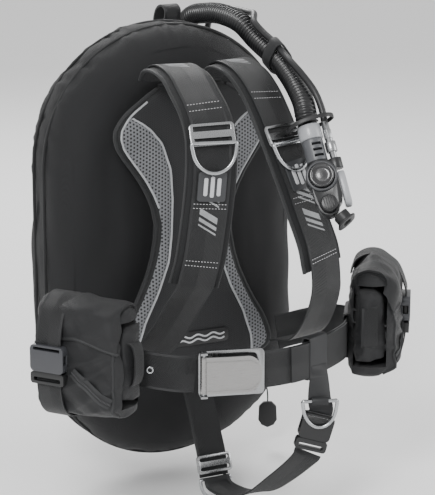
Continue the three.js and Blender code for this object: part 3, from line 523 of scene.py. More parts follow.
# %% Webbing
def webbing(name, width, colour=(0.0065, 0.0068, 0.0074), marks=()):
    finish = Finish(name, colour, 0.55, Sheen_Weight=0.07, Sheen_Roughness=0.4, Specular_IOR_Level=0.4)
    u, v = finish.laid()
    side = (u - width / 2).size()
    selvedge = side > width / 2 - 0.0035
    rib = (v + side * 0.6).wave(0.0021)
    thread = u.wave(0.0016)
    worn = finish.noise(60, 4)
    light = tuple(c * 2.6 for c in colour)
    tint = finish.mix(worn * 0.6 + rib * 0.2 + selvedge * 0.2, colour, light)
    if marks:
        run = v + u * 0.55
        slant = (run - 0.012).repeat(0.038)
        bars = slant.within(0.004, 0.0125) + slant.within(0.0165, 0.0215) + slant.within(0.0255, 0.028)
        spans = sum(run.within(*span) for span in marks)
        band = side < 0.0125
        tint = finish.mix(bars * spans * band * (worn * 0.4 + 0.6), tint, (0.4, 0.41, 0.42))
    finish.feed("Base Color", tint)
    finish.bump(rib * (1 - selvedge) + thread * 0.5 + selvedge * 0.4, 0.0004, 0.9)
    return finish


STRAP_WIDTH, NARROW_WIDTH, WEBBING_THICKNESS = 0.05, 0.038, 0.0023
strap_web = webbing("strap_web", STRAP_WIDTH)
marked_web = webbing("marked_web", STRAP_WIDTH, marks=((0.05, 0.088), (0.278, 0.354)))
narrow_web = webbing("narrow_web", NARROW_WIDTH)
tape = webbing("binding_tape", 0.012, (0.009, 0.0094, 0.01))

# %% [markdown]
# Spacer mesh is an open knit with a hole at each point of a triangular lattice. Three cosine waves at
# sixty degrees to each other peak together exactly on such a lattice, so their sum makes the holes.

# %% Spacer mesh and pad
def knit(finish, pitch, share):
    x, y, z = finish.axes(finish.place())
    k = 2 * math.pi / pitch
    total = None
    for turn in (0, 60, 120):
        c, s = math.cos(math.radians(turn)), math.sin(math.radians(turn))
        one = (x * (c * k) + z * (s * k)).maths("COSINE")
        total = one if total is None else total + one
    return total > share


pad_mesh = Finish("pad_mesh", (0.2, 0.21, 0.22), 0.8, Sheen_Weight=0.05)
coarse, fine = knit(pad_mesh, 0.0046, 0.7), knit(pad_mesh, 0.0026, 0.8)
lobe = pad_mesh.attribute("lobe") > 0
rim = pad_mesh.attribute("rim") < 0.0075
patch = pad_mesh.noise(18, 4)
centre_tint = pad_mesh.mix(fine, (0.012, 0.0125, 0.014), (0.002, 0.002, 0.0025))
lobe_tint = pad_mesh.mix(coarse, pad_mesh.mix(patch, (0.11, 0.113, 0.12), (0.2, 0.205, 0.215)),
                         (0.008, 0.008, 0.009))
inside = pad_mesh.mix(lobe, centre_tint, lobe_tint)
pad_mesh.feed("Base Color", pad_mesh.mix(rim, inside, (0.007, 0.0074, 0.008)))
pad_mesh.bump((1 - coarse) * lobe * (1 - rim) + (1 - fine) * 0.4 * (1 - lobe), 0.0009, 0.9)

piping = Finish("piping", (0.42, 0.43, 0.45), 0.6, Sheen_Weight=0.2)
u, v = piping.laid()
piping.feed("Base Color", piping.mix((v + u).wave(0.002) * 0.3 + piping.noise(90) * 0.6,
                                     (0.3, 0.31, 0.32), (0.55, 0.56, 0.58)))
piping.bump((v + u).wave(0.002), 0.0003, 0.7)

thread = Finish("thread", (0.45, 0.46, 0.47), 0.6)
thread.feed("Base Color", thread.mix(thread.noise(300), (0.36, 0.36, 0.37), (0.62, 0.62, 0.63)))
dark_thread = Finish("dark_thread", (0.04, 0.04, 0.044), 0.55)
dark_thread.feed("Base Color", dark_thread.mix(dark_thread.noise(300), (0.025, 0.025, 0.027),
                                               (0.07, 0.07, 0.075)))

# %% [markdown]
# ## Steel, rubber and plastic
#
# Brushed steel is a metal whose roughness and height vary in long thin lines. Moulded plastic has a
# fine spark-eroded grain, and rubber is dull with a dusty bloom.

# %% Hard finishes
def steel(name, roughness, stretch, colour=(0.6, 0.61, 0.62), depth=0.0001):
    finish = Finish(name, colour, roughness, 1.0)
    lines = finish.noise(60, 4, stretch)
    stains = finish.noise(9, 5)
    finish.feed("Roughness", lines * 0.16 + stains * 0.1 + (roughness - 0.1))
    finish.feed("Base Color", finish.mix(lines * 0.5 + stains * 0.5, tuple(c * 0.72 for c in colour),
                                         tuple(min(1, c * 1.25) for c in colour)))
    finish.bump(lines, depth, 0.5)
    return finish


def moulded(name, colour, roughness, grain=900, depth=0.00012, **sockets):
    finish = Finish(name, colour, roughness, **sockets)
    pits, wear = finish.noise(grain, 2), finish.noise(22, 5)
    finish.feed("Base Color", finish.mix(wear * 0.7 + pits * 0.25, colour,
                                         tuple(c * 1.7 + 0.004 for c in colour)))
    finish.feed("Roughness", wear * 0.16 + (roughness - 0.07))
    finish.bump(pits, depth, 0.6)
    return finish


lever_steel = steel("lever_steel", 0.26, (1, 1, 24), (0.31, 0.305, 0.3))
wire_steel = steel("wire_steel", 0.24, (2, 2, 2), (0.42, 0.43, 0.44), 0.00004)
plate_steel = steel("plate_steel", 0.25, (20, 20, 1), (0.34, 0.345, 0.35), 0.00003)
plated = steel("plated_brass", 0.24, (2, 2, 2), (0.34, 0.345, 0.35), 0.00003)
acetal = moulded("acetal_black", (0.006, 0.0062, 0.0066), 0.36)
acetal_grey = moulded("acetal_grey", (0.03, 0.031, 0.035), 0.38)
body_plastic = moulded("inflator_plastic", (0.007, 0.0074, 0.008), 0.33)
housing_grey = moulded("housing_grey", (0.028, 0.029, 0.032), 0.34)
silver = moulded("silver_shell", (0.22, 0.225, 0.235), 0.34, 500, Coat_Weight=0.3)
cage_grey = moulded("cage_grey", (0.06, 0.062, 0.067), 0.4)
gloss = moulded("gloss_button", (0.008, 0.008, 0.009), 0.16, 200, 0.00002, Coat_Weight=0.6)
rubber = moulded("rubber", (0.0065, 0.0068, 0.0074), 0.42, 500, 0.0002)
hose_rubber = moulded("hose_rubber", (0.006, 0.0062, 0.0068), 0.3, 350, 0.0001)
soft_rubber = moulded("soft_rubber", (0.005, 0.005, 0.0055), 0.45, 600)
label_rubber = moulded("label_rubber", (0.02, 0.021, 0.023), 0.5, 500)
raised_rubber = moulded("raised_rubber", (0.33, 0.335, 0.345), 0.5, 400)
print("finishes:", len(bpy.data.materials))

# %% [markdown]
# ## The two hoses and the dump cord
#
# The corrugated hose is a tube with a rib every few millimetres. Its radius swings between the rib's
# crest and its root as we go along. The feed hose is smooth and thin. Both are real lengths of hose,
# and the length of each is printed.

# %% Hoses
HOSE = Route([
    (85, 71, 247.6), (85, 71, 256), (88, 53, 273), (91, 12, 282), (91, -35, 286), (92, -90, 280),
    (95, -129, 262), (97, -181, 243), (92, -233, 222), (83, -278, 199), (76.5, -297, 184.5),
    (75.5, -303.4, 172.9),
])
FEED = Route([
    (95, -312.4, 178.3), (96, -305, 192), (93, -291, 214), (89, -266, 233), (88, -238, 246),
    (91, -211, 254), (92.5, -182, 265.5), (91.5, -152, 276), (92, -128, 286.5), (105, -103, 294),
    (112, -75, 292), (113, -35, 291.5), (113, 10, 287), (114, 42, 272), (117, 60, 245), (119, 66, 200),
    (120, 65, 150), (120, 64, 104), (120, 64, 66),
])
DUMP_CORD = Route([
    (135, 59.5, -243), (147, 46, -256), (160, 24, -266), (172, 2, -273), (179, -11, -282),
    (180, -15, -295), (180, -15, -305.4),
])
HOSE_RADIUS = 0.015
FEED_RADIUS = 0.0046
DUMP_CORD_WIDTH = 0.0022
RIBS = 74


def run_length(route):
    points = [route.point(i / 400) for i in range(401)]
    return sum((a - b).length for a, b in zip(points, points[1:]))


def line_of(route, count=60):
    return [tuple(route.point(t)) for t in route.spaced(count)]


def ribbed(s, t):
    crest = math.sin(2 * math.pi * t * RIBS)
    radius = HOSE_RADIUS * (0.9 + 0.1 * math.copysign(abs(crest) ** 0.7, crest))
    return radius * math.cos(2 * math.pi * s), radius * math.sin(2 * math.pi * s)


sideways = Vector((1, 0, 0))
rearwards = Vector((0, 1, 0))
hose = lay("ribbed_hose", HOSE, sideways, ribbed, 28, RIBS * 6, wrap=True)
hand_over(hose, hose_rubber, "harness", "hose_rubber", "corrugated_hose", angle=60)
HOSE.point(0)
run_length(HOSE)
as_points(line_of(HOSE))

feed = cording("feed_hose_tube", FEED, sideways, FEED_RADIUS, 14, 150)
hand_over(feed, rubber, "harness", "feed_rubber", "feed_hose", angle=60)
fitting = refine("feed_hose_fitting", "feed_hose_end", plated, 0.0006, "chromed_brass")
FEED.point(0)
run_length(FEED)
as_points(line_of(FEED))
print("hose", round(run_length(HOSE), 3), "feed", round(run_length(FEED), 3))

# %% [markdown]
# ## The air cell
#
# The cell is a section carried round an oval with straight sides: a flat web in front, a domed front
# panel, an upright gusset band on the rim, a domed rear panel and the channel for the cylinder. Sewn
# fabric puckers at its seams, so each seam pulls the cloth into short waves that die away within a
# few centimetres. Broad, shallow waves make the rest look soft.

# %% Cell section
HALF_WIDTH, HALF_STRAIGHT, CELL_Z = 190, 120, -32
FRONT_SEAM, BACK_SEAM = -45, -12
FRONT_FACE, BACK_FACE = -100, 38


def arch(shoulder, height, count):
    turns = [math.pi / 2 * i / count for i in range(count + 1)]
    return [(shoulder * (1 - math.cos(a)), height * math.sin(a)) for a in turns]


front = [(i, FRONT_SEAM - h) for i, h in arch(70, FRONT_SEAM - FRONT_FACE, 16)]
back = [(i, BACK_SEAM + h) for i, h in arch(48, BACK_FACE - BACK_SEAM, 14)]
SECTION = (
    [(150, FRONT_FACE), (132, FRONT_FACE), (114, FRONT_FACE - 0.6), (98, FRONT_FACE - 1.2),
     (84, FRONT_FACE - 0.8)]
    + front[::-1] + [(-1.5, -37), (-2.2, -28.5), (-1.5, -20)] + back
    + [(57, 38), (66, 36), (75, 30), (84, 22), (90, 13), (93, 3), (100, -14), (110, -41), (126, -63),
       (148, -79), (170, -88.6)]
)


def oval(s, inset):
    """A point on the ring at that inset, and the way out of the ring, in the XZ plane."""
    reach = HALF_WIDTH - inset
    arc, straight = math.pi * 150, 2 * HALF_STRAIGHT
    run = (s % 1) * (2 * arc + 2 * straight)
    for turn in (0, 1):
        flip = 1 - 2 * turn
        if run <= arc:
            a = math.pi * turn + math.pi * run / arc
            c, n = math.cos(a), math.sin(a)
            return Vector((reach * c, CELL_Z + flip * HALF_STRAIGHT + reach * n)), Vector((c, n))
        run -= arc
        if run <= straight:
            return Vector((-flip * reach, CELL_Z + flip * (HALF_STRAIGHT - run))), Vector((-flip, 0))
        run -= straight
    return oval(0, inset)


PUCKER_DEPTH, SWELL_DEPTH, CREASE_DEPTH = 7.5, 5.0, 2.4


def cell_point(s, t):
    place = t * (len(SECTION) - 1)
    k = min(int(place), len(SECTION) - 2)
    w = place - k
    inset, y = ((1 - w) * a + w * b for a, b in zip(SECTION[k], SECTION[k + 1]))
    flat, out = oval(s, inset)
    p = Vector((flat.x, y, flat.y))
    seam = min(abs(y - FRONT_SEAM), abs(y - BACK_SEAM)) + max(inset, 0) * 0.9
    pucker = noise.noise(Vector((out.x * 26, out.y * 26 + p.z / 60, y / 45)))
    broad = noise.noise(p / 95 + Vector((3, 1, 7)))
    crease = noise.noise(Vector((p.x / 34, y / 60, p.z / 60)) + Vector((9, 2, 4)))
    edge = math.exp(-seam / 22) * (1 - math.exp(-seam / 5))
    middle = min(1, max(0, (130 - inset) / 40))
    soft = SWELL_DEPTH * broad + CREASE_DEPTH * crease
    rise = (PUCKER_DEPTH * pucker * edge + soft * middle) / 1000
    lift = Vector((out.x, 0, out.y)) if inset < 24 else Vector((0, -1 if y < FRONT_SEAM else 1, 0))
    if inset > 88:
        lift = Vector((0, 0, 0)) if y > FRONT_FACE + 2 else Vector((0, -0.4, 0))
    return p / 1000 + lift * rise


# %% [markdown]
# The whole cell is one closed mesh. A thin cord of piping covers each of the two seams on its rim.

# %% Build the cell
PIPING_REACH, PIPING_RADIUS = 1.2, 0.0024

cell = bend("air_cell_cloth", 220, (len(SECTION) - 1) * 2, cell_point, wrap=True, size=(1.6, 0.62))
hand_over(cell, cell_cloth, "harness", "cell_cordura", "air_cell_shell", "air_bladder", angle=55)


def rim_cord(name, y):
    points = []
    for i in range(110):
        flat, out = oval(i / 110, -PIPING_REACH)
        points.append(Vector((flat.x, y, flat.y)) / 1000)
    piece = cording(name, Route(points, closed=True), rearwards, PIPING_RADIUS, 8, 220)
    return hand_over(piece, tape, "harness", "cell_cordura", angle=60)


rim_cord("cell_piping_front", FRONT_SEAM)
rim_cord("cell_piping_back", BACK_SEAM)
print("cell:", len(cell.data.polygons), "faces")

# %% [markdown]
# ## Stitches
#
# A stitch is a short rounded lump of thread. We model one, with few faces, and copy it along lines of
# stitching. Each line is given as places with the thread's direction and the way out of the cloth.

# %% Stitch tool
def stitch_rows(name, places, finish, length=0.0026, width=0.0009, slot="webbing"):
    deselect()
    bpy.ops.mesh.primitive_cube_add(size=1)
    piece = bpy.context.object
    one = bmesh.new()
    one.from_mesh(piece.data)
    bmesh.ops.subdivide_edges(one, edges=one.edges[:], cuts=1, use_grid_fill=True)
    corners = [v.co.copy() for v in one.verts]
    corners = [c * (1 if c.length < 0.55 else 0.72) for c in corners]
    faces = [[v.index for v in f.verts] for f in one.faces]
    one.free()
    points, quads = [], []
    for where, along, out in places:
        along = (along - out * along.dot(out)).normalized()
        side = out.cross(along)
        start = len(points)
        for c in corners:
            points.append(where + along * (c.x * length) + side * (c.y * width) + out * (c.z * width))
        quads += [[start + i for i in face] for face in faces]
    piece.data.clear_geometry()
    piece.data.from_pydata(points, [], quads)
    piece.name = name
    edit(piece, face_out)
    return hand_over(piece, finish, "harness", slot, angle=80)


# %% [markdown]
# ## Shoulder straps
#
# Each strap is a foam strip bound with tape, and 50 mm webbing runs down its middle. We find places on
# a strap by how far down it they are, how far across, and how far off its middle surface.

# %% Strap geometry
SPLAY = math.radians(13)
STRAPS = {
    "right": {
        "wide": Vector((math.cos(SPLAY), -math.sin(SPLAY), 0)),
        "route": Route([
            (-46, -122, 216), (-48, -137, 230), (-50, -166, 236), (-52, -202, 231), (-56, -236, 215),
            (-59, -268, 195), (-61, -288, 170), (-63, -295, 140), (-65, -295, 105), (-68, -290, 58),
            (-72, -281, 5), (-77, -271, -32),
        ]),
        "tail": [(-85, -259, -62), (-100, -243, -100), (-118, -212, -140), (-124, -158, -158)],
    },
    "left": {
        "wide": Vector((math.cos(SPLAY), math.sin(SPLAY), 0)),
        "route": Route([
            (44, -122, 216), (43, -135, 229), (42, -160, 235), (42, -198, 229), (43, -232, 209),
            (45, -256, 184), (48, -276, 156), (53, -290, 128), (60, -303, 96), (67, -320, 56),
            (74, -334, 20), (80, -336, -10),
        ]),
        "tail": [(85, -339, -42), (97, -298, -94), (116, -230, -138), (124, -165, -158)],
    },
}
LABEL_SHARE = {"right": 0.725, "left": 0.7}
STITCH_SHARES = {"right": (0.43, 0.455, 0.772, 0.783, 0.91, 0.925),
                 "left": (0.38, 0.405, 0.765, 0.78, 0.95, 0.965)}


def frame_at(origin, x, y, z):
    """A matrix from a place in millimetres and three directions."""
    return stand(spot(*origin), *(Vector(axis).normalized() for axis in (x, y, z)))


RING_AT = {
    "right": frame_at((-65.3, -307.2, 163.3), (0.9738, -0.2271, -0.0084), (0.0425, 0.1458, 0.9884),
                      (-0.2232, -0.9629, 0.1516)),
    "left": frame_at((52.9, -295.8, 153.2), (0.968, 0.2473, 0.0434), (-0.1322, 0.3549, 0.9255),
                     (0.2134, -0.9016, 0.3762)),
}
LADDER_AT = {
    "right": frame_at((-63.2, -297.8, 172.9), (0.9766, -0.2138, 0.0252), (0.0655, 0.4068, 0.9112),
                      (-0.205, -0.8881, 0.4113)),
    "left": frame_at((50.2, -285.4, 160.0), (0.973, 0.2306, 0.0095), (-0.1274, 0.5024, 0.8552),
                     (0.1924, -0.8333, 0.5182)),
}


def on_strap(strap, t, sideways_m=0.0, lift=0.0):
    """A matrix on the strap: X across it, Y up along it, Z away from the pad."""
    along = -strap["route"].tangent(t)
    wide = strap["wide"]
    wide = (wide - along * wide.dot(along)).normalized()
    out = wide.cross(along)
    return stand(strap["route"].point(t) + wide * sideways_m + out * lift, wide, along, out)


def cushion(width, thick):
    """A closed rounded section, full in its middle and thin at its edges."""
    def shape(s, t):
        a = 2 * math.pi * s
        c, n = math.cos(a), math.sin(a)
        x = math.copysign(abs(c) ** 0.55, c)
        full = 0.45 + 0.55 * (1 - abs(x) ** 3)
        end = min(1, 6 * min(t, 1 - t) + 0.55)
        return width / 2 * x, thick / 2 * math.copysign(abs(n) ** 0.5, n) * full * end
    return shape


# %% [markdown]
# The D-rings are one bent steel wire. A closed route carries a round section: a straight bar, then a
# half loop. The same tool makes all four rings, each with its own size and place.

# %% Rings and sliders
def wire_ring(name, place, width, height, wire, body, node):
    half = width / 2 - wire / 2
    points = [Vector((half * x, 0, 0)) for x in (-0.85, -0.42, 0, 0.42, 0.85)]
    for i in range(0, 17):
        a = math.pi * i / 16
        points.append(Vector((half * math.cos(a) * 1.02, -(height - wire) * math.sin(a) ** 0.85, 0)))
    route = Route([place @ p for p in points], closed=True)
    flat = (place.to_3x3() @ Vector((0, 0, 1))).normalized()
    piece = cording(name, route, flat, wire / 2, 14, 90)
    return hand_over(piece, wire_steel, body, "stainless", node, angle=70)


def pill(name, width, height, thickness, place, radius, bevel=0.0008, holes=()):
    """A flat plate with round corners and round-cornered holes."""
    deselect()
    bpy.ops.mesh.primitive_cube_add(size=1)
    piece = bpy.context.object
    piece.name = name
    piece.data.transform(Matrix.Diagonal((width, height, thickness, 1)))
    upright = [e for e in piece.data.edges
               if abs(piece.data.vertices[e.vertices[0]].co.z - piece.data.vertices[e.vertices[1]].co.z)
               > thickness / 2]
    weights = piece.data.attributes.new("bevel_weight_edge", "FLOAT", "EDGE")
    for edge in upright:
        weights.data[edge.index].value = 1
    modifier(piece, "BEVEL", width=radius, segments=6, limit_method="WEIGHT")
    for x, y, w, h in holes:
        cut_box(piece, (x, y, 0), (w, h, thickness * 3))
    soften(piece, bevel, 2, 50)
    piece.data.transform(place)
    return piece


# %% [markdown]
# Both straps are built by one loop, because they differ only in their routes and places. Binding runs
# down both edges of the foam strip, the webbing lies on it and goes on to the belt as the tail, and the
# ladder, the D-ring, the blank label and the stitching come last.

# %% Build both straps
CUSHION_WIDTH, CUSHION_THICKNESS = 0.066, 0.0105
BINDING_REACH, BINDING_RADIUS = 0.0322, 0.0026
WEBBING_LIFT, LABEL_LIFT, STITCH_LIFT = 0.0068, 0.0094, 0.0083
SLOTS = [(0, 0.008, 0.05, 0.0065), (0, -0.008, 0.05, 0.0065)]

for side, strap in STRAPS.items():
    route, wide = strap["route"], strap["wide"]
    pad = lay(f"strap_foam_{side}", route, -wide, cushion(CUSHION_WIDTH, CUSHION_THICKNESS), 36, 90,
              wrap=True)
    hand_over(pad, pad_cloth, "harness", "strap_pad", f"shoulder_pad_{side}", angle=60)
    for edge in (-1, 1):
        line = Route([on_strap(strap, i / 40, edge * BINDING_REACH).translation for i in range(41)])
        binding = cording(f"strap_binding_{side}_{'outer' if edge > 0 else 'inner'}", line, -wide,
                          BINDING_RADIUS, 10, 90)
        hand_over(binding, tape, "harness", "strap_pad", angle=70)
    on_pad = [on_strap(strap, 0.03 + 0.97 * i / 30, 0, WEBBING_LIFT).translation for i in range(31)]
    path = Route(on_pad + [spot(*p) for p in strap["tail"]])
    band = ribbon(f"strap_webbing_{side}", path, -wide, STRAP_WIDTH, WEBBING_THICKNESS - 0.0001, 10, 150)
    hand_over(band, marked_web, "harness", "webbing", f"shoulder_webbing_{side}")
    ladder = pill(f"strap_ladder_{side}", 0.06, 0.03, 0.0028, LADDER_AT[side], 0.005, holes=SLOTS)
    hand_over(ladder, plate_steel, "harness", "stainless", f"shoulder_slider_{side}")
    wire_ring(f"strap_ring_{side}", RING_AT[side], 0.062, 0.044, 0.005, f"ring_{side}",
              f"shoulder_ring_{side}")
    label_at = on_strap(strap, LABEL_SHARE[side], 0, LABEL_LIFT)
    label = pill(f"strap_label_{side}", 0.038, 0.04, 0.003, label_at, 0.004)
    hand_over(label, label_rubber, "harness", "soft_rubber")
    bars = [pill("bar", 0.0052, 0.028 - 0.004 * abs(k), 0.0022,
                 label_at @ Matrix.Translation((k * 0.0088, 0, 0.002)), 0.002, 0.0005)
            for k in (-1, 0, 1)]
    hand_over(join(f"strap_label_bars_{side}", bars), raised_rubber, "harness", "soft_rubber")
    places = []
    for t in STITCH_SHARES[side]:
        for i in range(11):
            spot_on = on_strap(strap, t, -0.021 + 0.0042 * i, STITCH_LIFT)
            places.append((spot_on.translation, spot_on.col[0].to_3d(), spot_on.col[2].to_3d()))
    stitch_rows(f"strap_stitches_{side}", places, thread)
    print(side, "strap, m:", round(run_length(path), 3), "stitches:", len(places))

# %% [markdown]
# ## Back pad
#
# The pad is an hourglass of foam behind mesh. Its outline is a half width for each height, so a grid
# from side to side and bottom to top gives the shape.

# %% Pad shape
PAD_TOP, PAD_BOTTOM = 206, -191
PAD_BINDING = 0.0034
PAD_WIDTH = [(-191, 96), (-186, 112), (-176, 123), (-166, 125), (-150, 120), (-132, 112), (-110, 98),
             (-88, 86), (-60, 73), (-35, 65), (-10, 60), (15, 58), (40, 63), (60, 71), (80, 82),
             (97, 94), (112, 105), (126, 114), (140, 118), (150, 117), (162, 110), (175, 97),
             (187, 80), (197, 65), (206, 48)]
SEAM_WIDTH = [(-195, 94), (-160, 90), (-122, 77), (-83, 57), (-38, 40), (0, 36), (50, 34), (92, 37),
              (128, 49), (153, 70), (171, 99), (185, 112), (210, 120)]


def look_up(table, x):
    x = min(max(x, table[0][0]), table[-1][0])
    for (x0, y0), (x1, y1) in zip(table, table[1:]):
        if x <= x1:
            return y0 + (y1 - y0) * (x - x0) / (x1 - x0)
    return table[-1][1]


def pad_surface(x, z):
    """The pad's front face, in millimetres, with its rim rounded and its seams pulled in."""
    share = min(1, abs(x) / look_up(PAD_WIDTH, z))
    height = min(1, abs(z - 8) / 199)
    dome = math.sqrt(max(0, (1 - share ** 7) * (1 - height ** 18)))
    seam = math.exp(-(((abs(x) - look_up(SEAM_WIDTH, z)) / 5) ** 2))
    wave = noise.noise(Vector((x / 42, 3.3, z / 42))) * 1.6
    return -114.5 - dome * (13.5 - 2.6 * seam + wave)


def pad_point(s, t):
    z = PAD_BOTTOM + (PAD_TOP - PAD_BOTTOM) * t
    x = (2 * s - 1) * look_up(PAD_WIDTH, z)
    return spot(x, pad_surface(x, z), z)


# %% [markdown]
# The grid is thickened backwards into foam. Two numbers are stored on each point: how far it is inside
# the rim, and how far it is past the inner seam. The material turns them into the black border, the
# light mesh lobes and the dark middle, with sharp edges on any mesh.

# %% Build the pad
pad = bend("back_pad_foam", 84, 120, pad_point, size=(0.24, 0.4))
thicken(pad, 0.0045, offset=-1.0)
edit(pad, face_out)
for name in ("lobe", "rim"):
    store = pad.data.attributes.new(name, "FLOAT", "POINT")
    for vertex in pad.data.vertices:
        x, z = abs(vertex.co.x) * 1000, vertex.co.z * 1000
        inside = look_up(PAD_WIDTH, z) - x
        ends = min(PAD_TOP - z, z - PAD_BOTTOM)
        value = x - look_up(SEAM_WIDTH, z) if name == "lobe" else min(inside, ends)
        store.data[vertex.index].value = value / 1000
hand_over(pad, pad_mesh, "harness", "air_mesh", "back_pad", angle=60)
print("pad:", len(pad.data.polygons), "faces")


# %% [markdown]
# Light piping lies in the seams between the lobes and the middle, and along the upper rim. Black
# binding tape closes the foam's edge all round.

# %% Piping and binding
def pad_line(name, spots, radius, finish, lift=0.6):
    points = [spot(x, pad_surface(x, z) - lift, z) for x, z in spots]
    piece = cording(name, Route(points), rearwards, radius, 8, 110)
    return hand_over(piece, finish, "harness", "air_mesh", angle=70)


for sign, side in ((-1, "right"), (1, "left")):
    heights = [-186 + 362 * i / 40 for i in range(41)]
    inner = [(sign * look_up(SEAM_WIDTH, z), z) for z in heights]
    inner = [(x, z) for x, z in inner if abs(x) < look_up(PAD_WIDTH, z) - 8]
    pad_line(f"pad_piping_inner_{side}", inner, 0.0016, piping)
    heights = [40 + 148 * i / 24 for i in range(25)]
    pad_line(f"pad_piping_outer_{side}", [(sign * (look_up(PAD_WIDTH, z) - 8.2), z) for z in heights],
             0.0015, piping)
    heights = [PAD_BOTTOM + 3 + (PAD_TOP - PAD_BOTTOM - 6) * i / 60 for i in range(61)]
    pad_line(f"pad_binding_{side}", [(sign * (look_up(PAD_WIDTH, z) - 1.2), z) for z in heights],
             PAD_BINDING, tape, 0.2)
for z, name in ((PAD_TOP, "top"), (PAD_BOTTOM, "bottom")):
    reach = look_up(PAD_WIDTH, z)
    points = [spot(reach * (2 * i / 12 - 1), -112.6, z) for i in range(13)]
    piece = cording(f"pad_binding_{name}", Route(points), rearwards, PAD_BINDING, 8, 40)
    hand_over(piece, tape, "harness", "air_mesh", angle=70)
print("pad width, mm:", 2 * max(width for height, width in PAD_WIDTH))

# %% [markdown]
# A small moulded badge sits low on the pad. It carries a plain wave of our own: two rows of raised
# ribbon that swing up and down.

# %% Badge
BADGE_X, BADGE_Z = 8, -152
badge_face = pad_surface(BADGE_X, BADGE_Z)
badge_at = Matrix.Translation(spot(BADGE_X, badge_face - 1.0, BADGE_Z)) @ Matrix.Rotation(
    math.radians(90), 4, "X")
badge = pill("pad_badge", 0.086, 0.02, 0.003, badge_at, 0.006)
hand_over(badge, soft_rubber, "harness", "air_mesh")
waves = []
for row in (-1, 1):
    points = [spot(BADGE_X - 36 + 72 * i / 24, badge_face - 2.8,
                   BADGE_Z + row * 3.2 + 1.9 * math.sin(2 * math.pi * i / 8)) for i in range(25)]
    waves.append(cording("wave", Route(points), Vector((0, 0, 1)), 0.0013, 8, 80))
hand_over(join("pad_badge_waves", waves), raised_rubber, "harness", "air_mesh", angle=70)
print("badge waves:", len(waves))

# %% [markdown]
# ## Waist belt and its steel buckle
#
# The belt is the same 50 mm webbing, doubled on the left where its end is turned back. The buckle is a
# plate frame with a hinge pin and a stamped lever. The lever's end is rounded and its face carries a
# shallow pressed border.

# %% Belt webbing
UP = Vector((0, 0, 1))
BUCKLE_CENTRE = spot(-50, -326, -141)
BUCKLE_TURN = math.radians(-17)
buckle_x = Vector((math.cos(BUCKLE_TURN), math.sin(BUCKLE_TURN), 0))
on_buckle = stand(BUCKLE_CENTRE, buckle_x, UP, buckle_x.cross(UP))


def buckle_spot(x, y, z):
    return on_buckle @ spot(x, y, z)


BELT_RIGHT = Route([
    (-131, -128, -160), (-170, -134, -153), (-202, -156, -142), (-210, -184, -135), (-203, -206, -132),
    (-186, -231, -131), (-167, -259, -132), (-148, -282, -135), (-116, -305, -139),
    buckle_spot(-48, 0, -3.5),
])
BELT_LEFT = Route([
    buckle_spot(-16, 0, -5), buckle_spot(42, 0, -5), (45, -334, -140), (95, -315, -138),
    (146, -283, -137), (167, -259, -137), (186, -231, -138), (203, -206, -141), (210, -184, -144),
    (202, -156, -148), (170, -134, -156), (131, -128, -162),
])
belt = ribbon("belt_right", BELT_RIGHT, UP, STRAP_WIDTH, WEBBING_THICKNESS, 10, 90)
hand_over(belt, strap_web, "harness", "webbing", "waist_belt_right")
belt = ribbon("belt_left", BELT_LEFT, UP, STRAP_WIDTH, WEBBING_THICKNESS, 10, 120)
hand_over(belt, strap_web, "harness", "webbing", "waist_belt_left")
fold = Route([BELT_LEFT.point(t) + Vector((0.0007, -0.003, 0)) for t in
              [0.16 + 0.24 * i / 20 for i in range(21)]])
doubled = ribbon("belt_left_fold", fold, UP, STRAP_WIDTH - 0.0015, WEBBING_THICKNESS - 0.0001, 10, 70)
hand_over(doubled, strap_web, "harness", "webbing")
print("belt, m:", round(run_length(BELT_RIGHT), 3), round(run_length(BELT_LEFT), 3))

# %% [markdown]
# The eyelet is a turned ring pressed into the webbing. The frame and the pin come from the model with
# their edges rounded. The lever is bent from a grid, so that its crown and border are real shape, and
# a barrel is joined to it where it rolls round the pin.

# %% Eyelet, frame and lever
eyelet_at = frame_at(BELT_RIGHT.point(0.78) * 1000 + Vector((-0.9, -1.4, 0)), (0.87, -0.49, 0),
                     (0, 0, 1), (-0.49, -0.87, 0))
eyelet = turned("belt_eyelet", [(2.6, -0.6), (5.2, -0.6), (5.2, 0.3), (4.4, 0.9), (3.2, 0.9), (2.6, 0.2),
                                (2.6, -0.6)], eyelet_at, 32)
edit(eyelet, weld(1e-5), face_out)
hand_over(eyelet, wire_steel, "harness", "stainless", angle=60)

refine("waist_buckle_frame", "buckle_frame", plate_steel, 0.0007, "stainless")
refine("waist_buckle_pin", "buckle_pin", wire_steel, 0.0004, "stainless")


LEVER_START, LEVER_LENGTH, LEVER_HALF = -0.035, 0.074, 0.0248
STRAIGHT_SHARE = 0.74
BORDER_INSET, BORDER_WIDTH, BORDER_DEPTH = 0.005, 0.0012, 0.0004


def lever_point(s, t):
    x = LEVER_START + LEVER_LENGTH * t
    bent = max(0, t - STRAIGHT_SHARE) / (1 - STRAIGHT_SHARE)
    half = LEVER_HALF * math.sqrt(max(0, 1 - bent ** 2.1))
    y = (2 * s - 1) * half
    edge = min(half - abs(y), LEVER_LENGTH * (1 - t))
    rim = math.exp(-((edge - BORDER_INSET) / BORDER_WIDTH) ** 2) * BORDER_DEPTH
    crown = 0.0016 * math.sin(math.pi * min(1, t * 1.05)) ** 0.7
    return on_buckle @ Vector((x, y, 0.0084 + crown - rim))


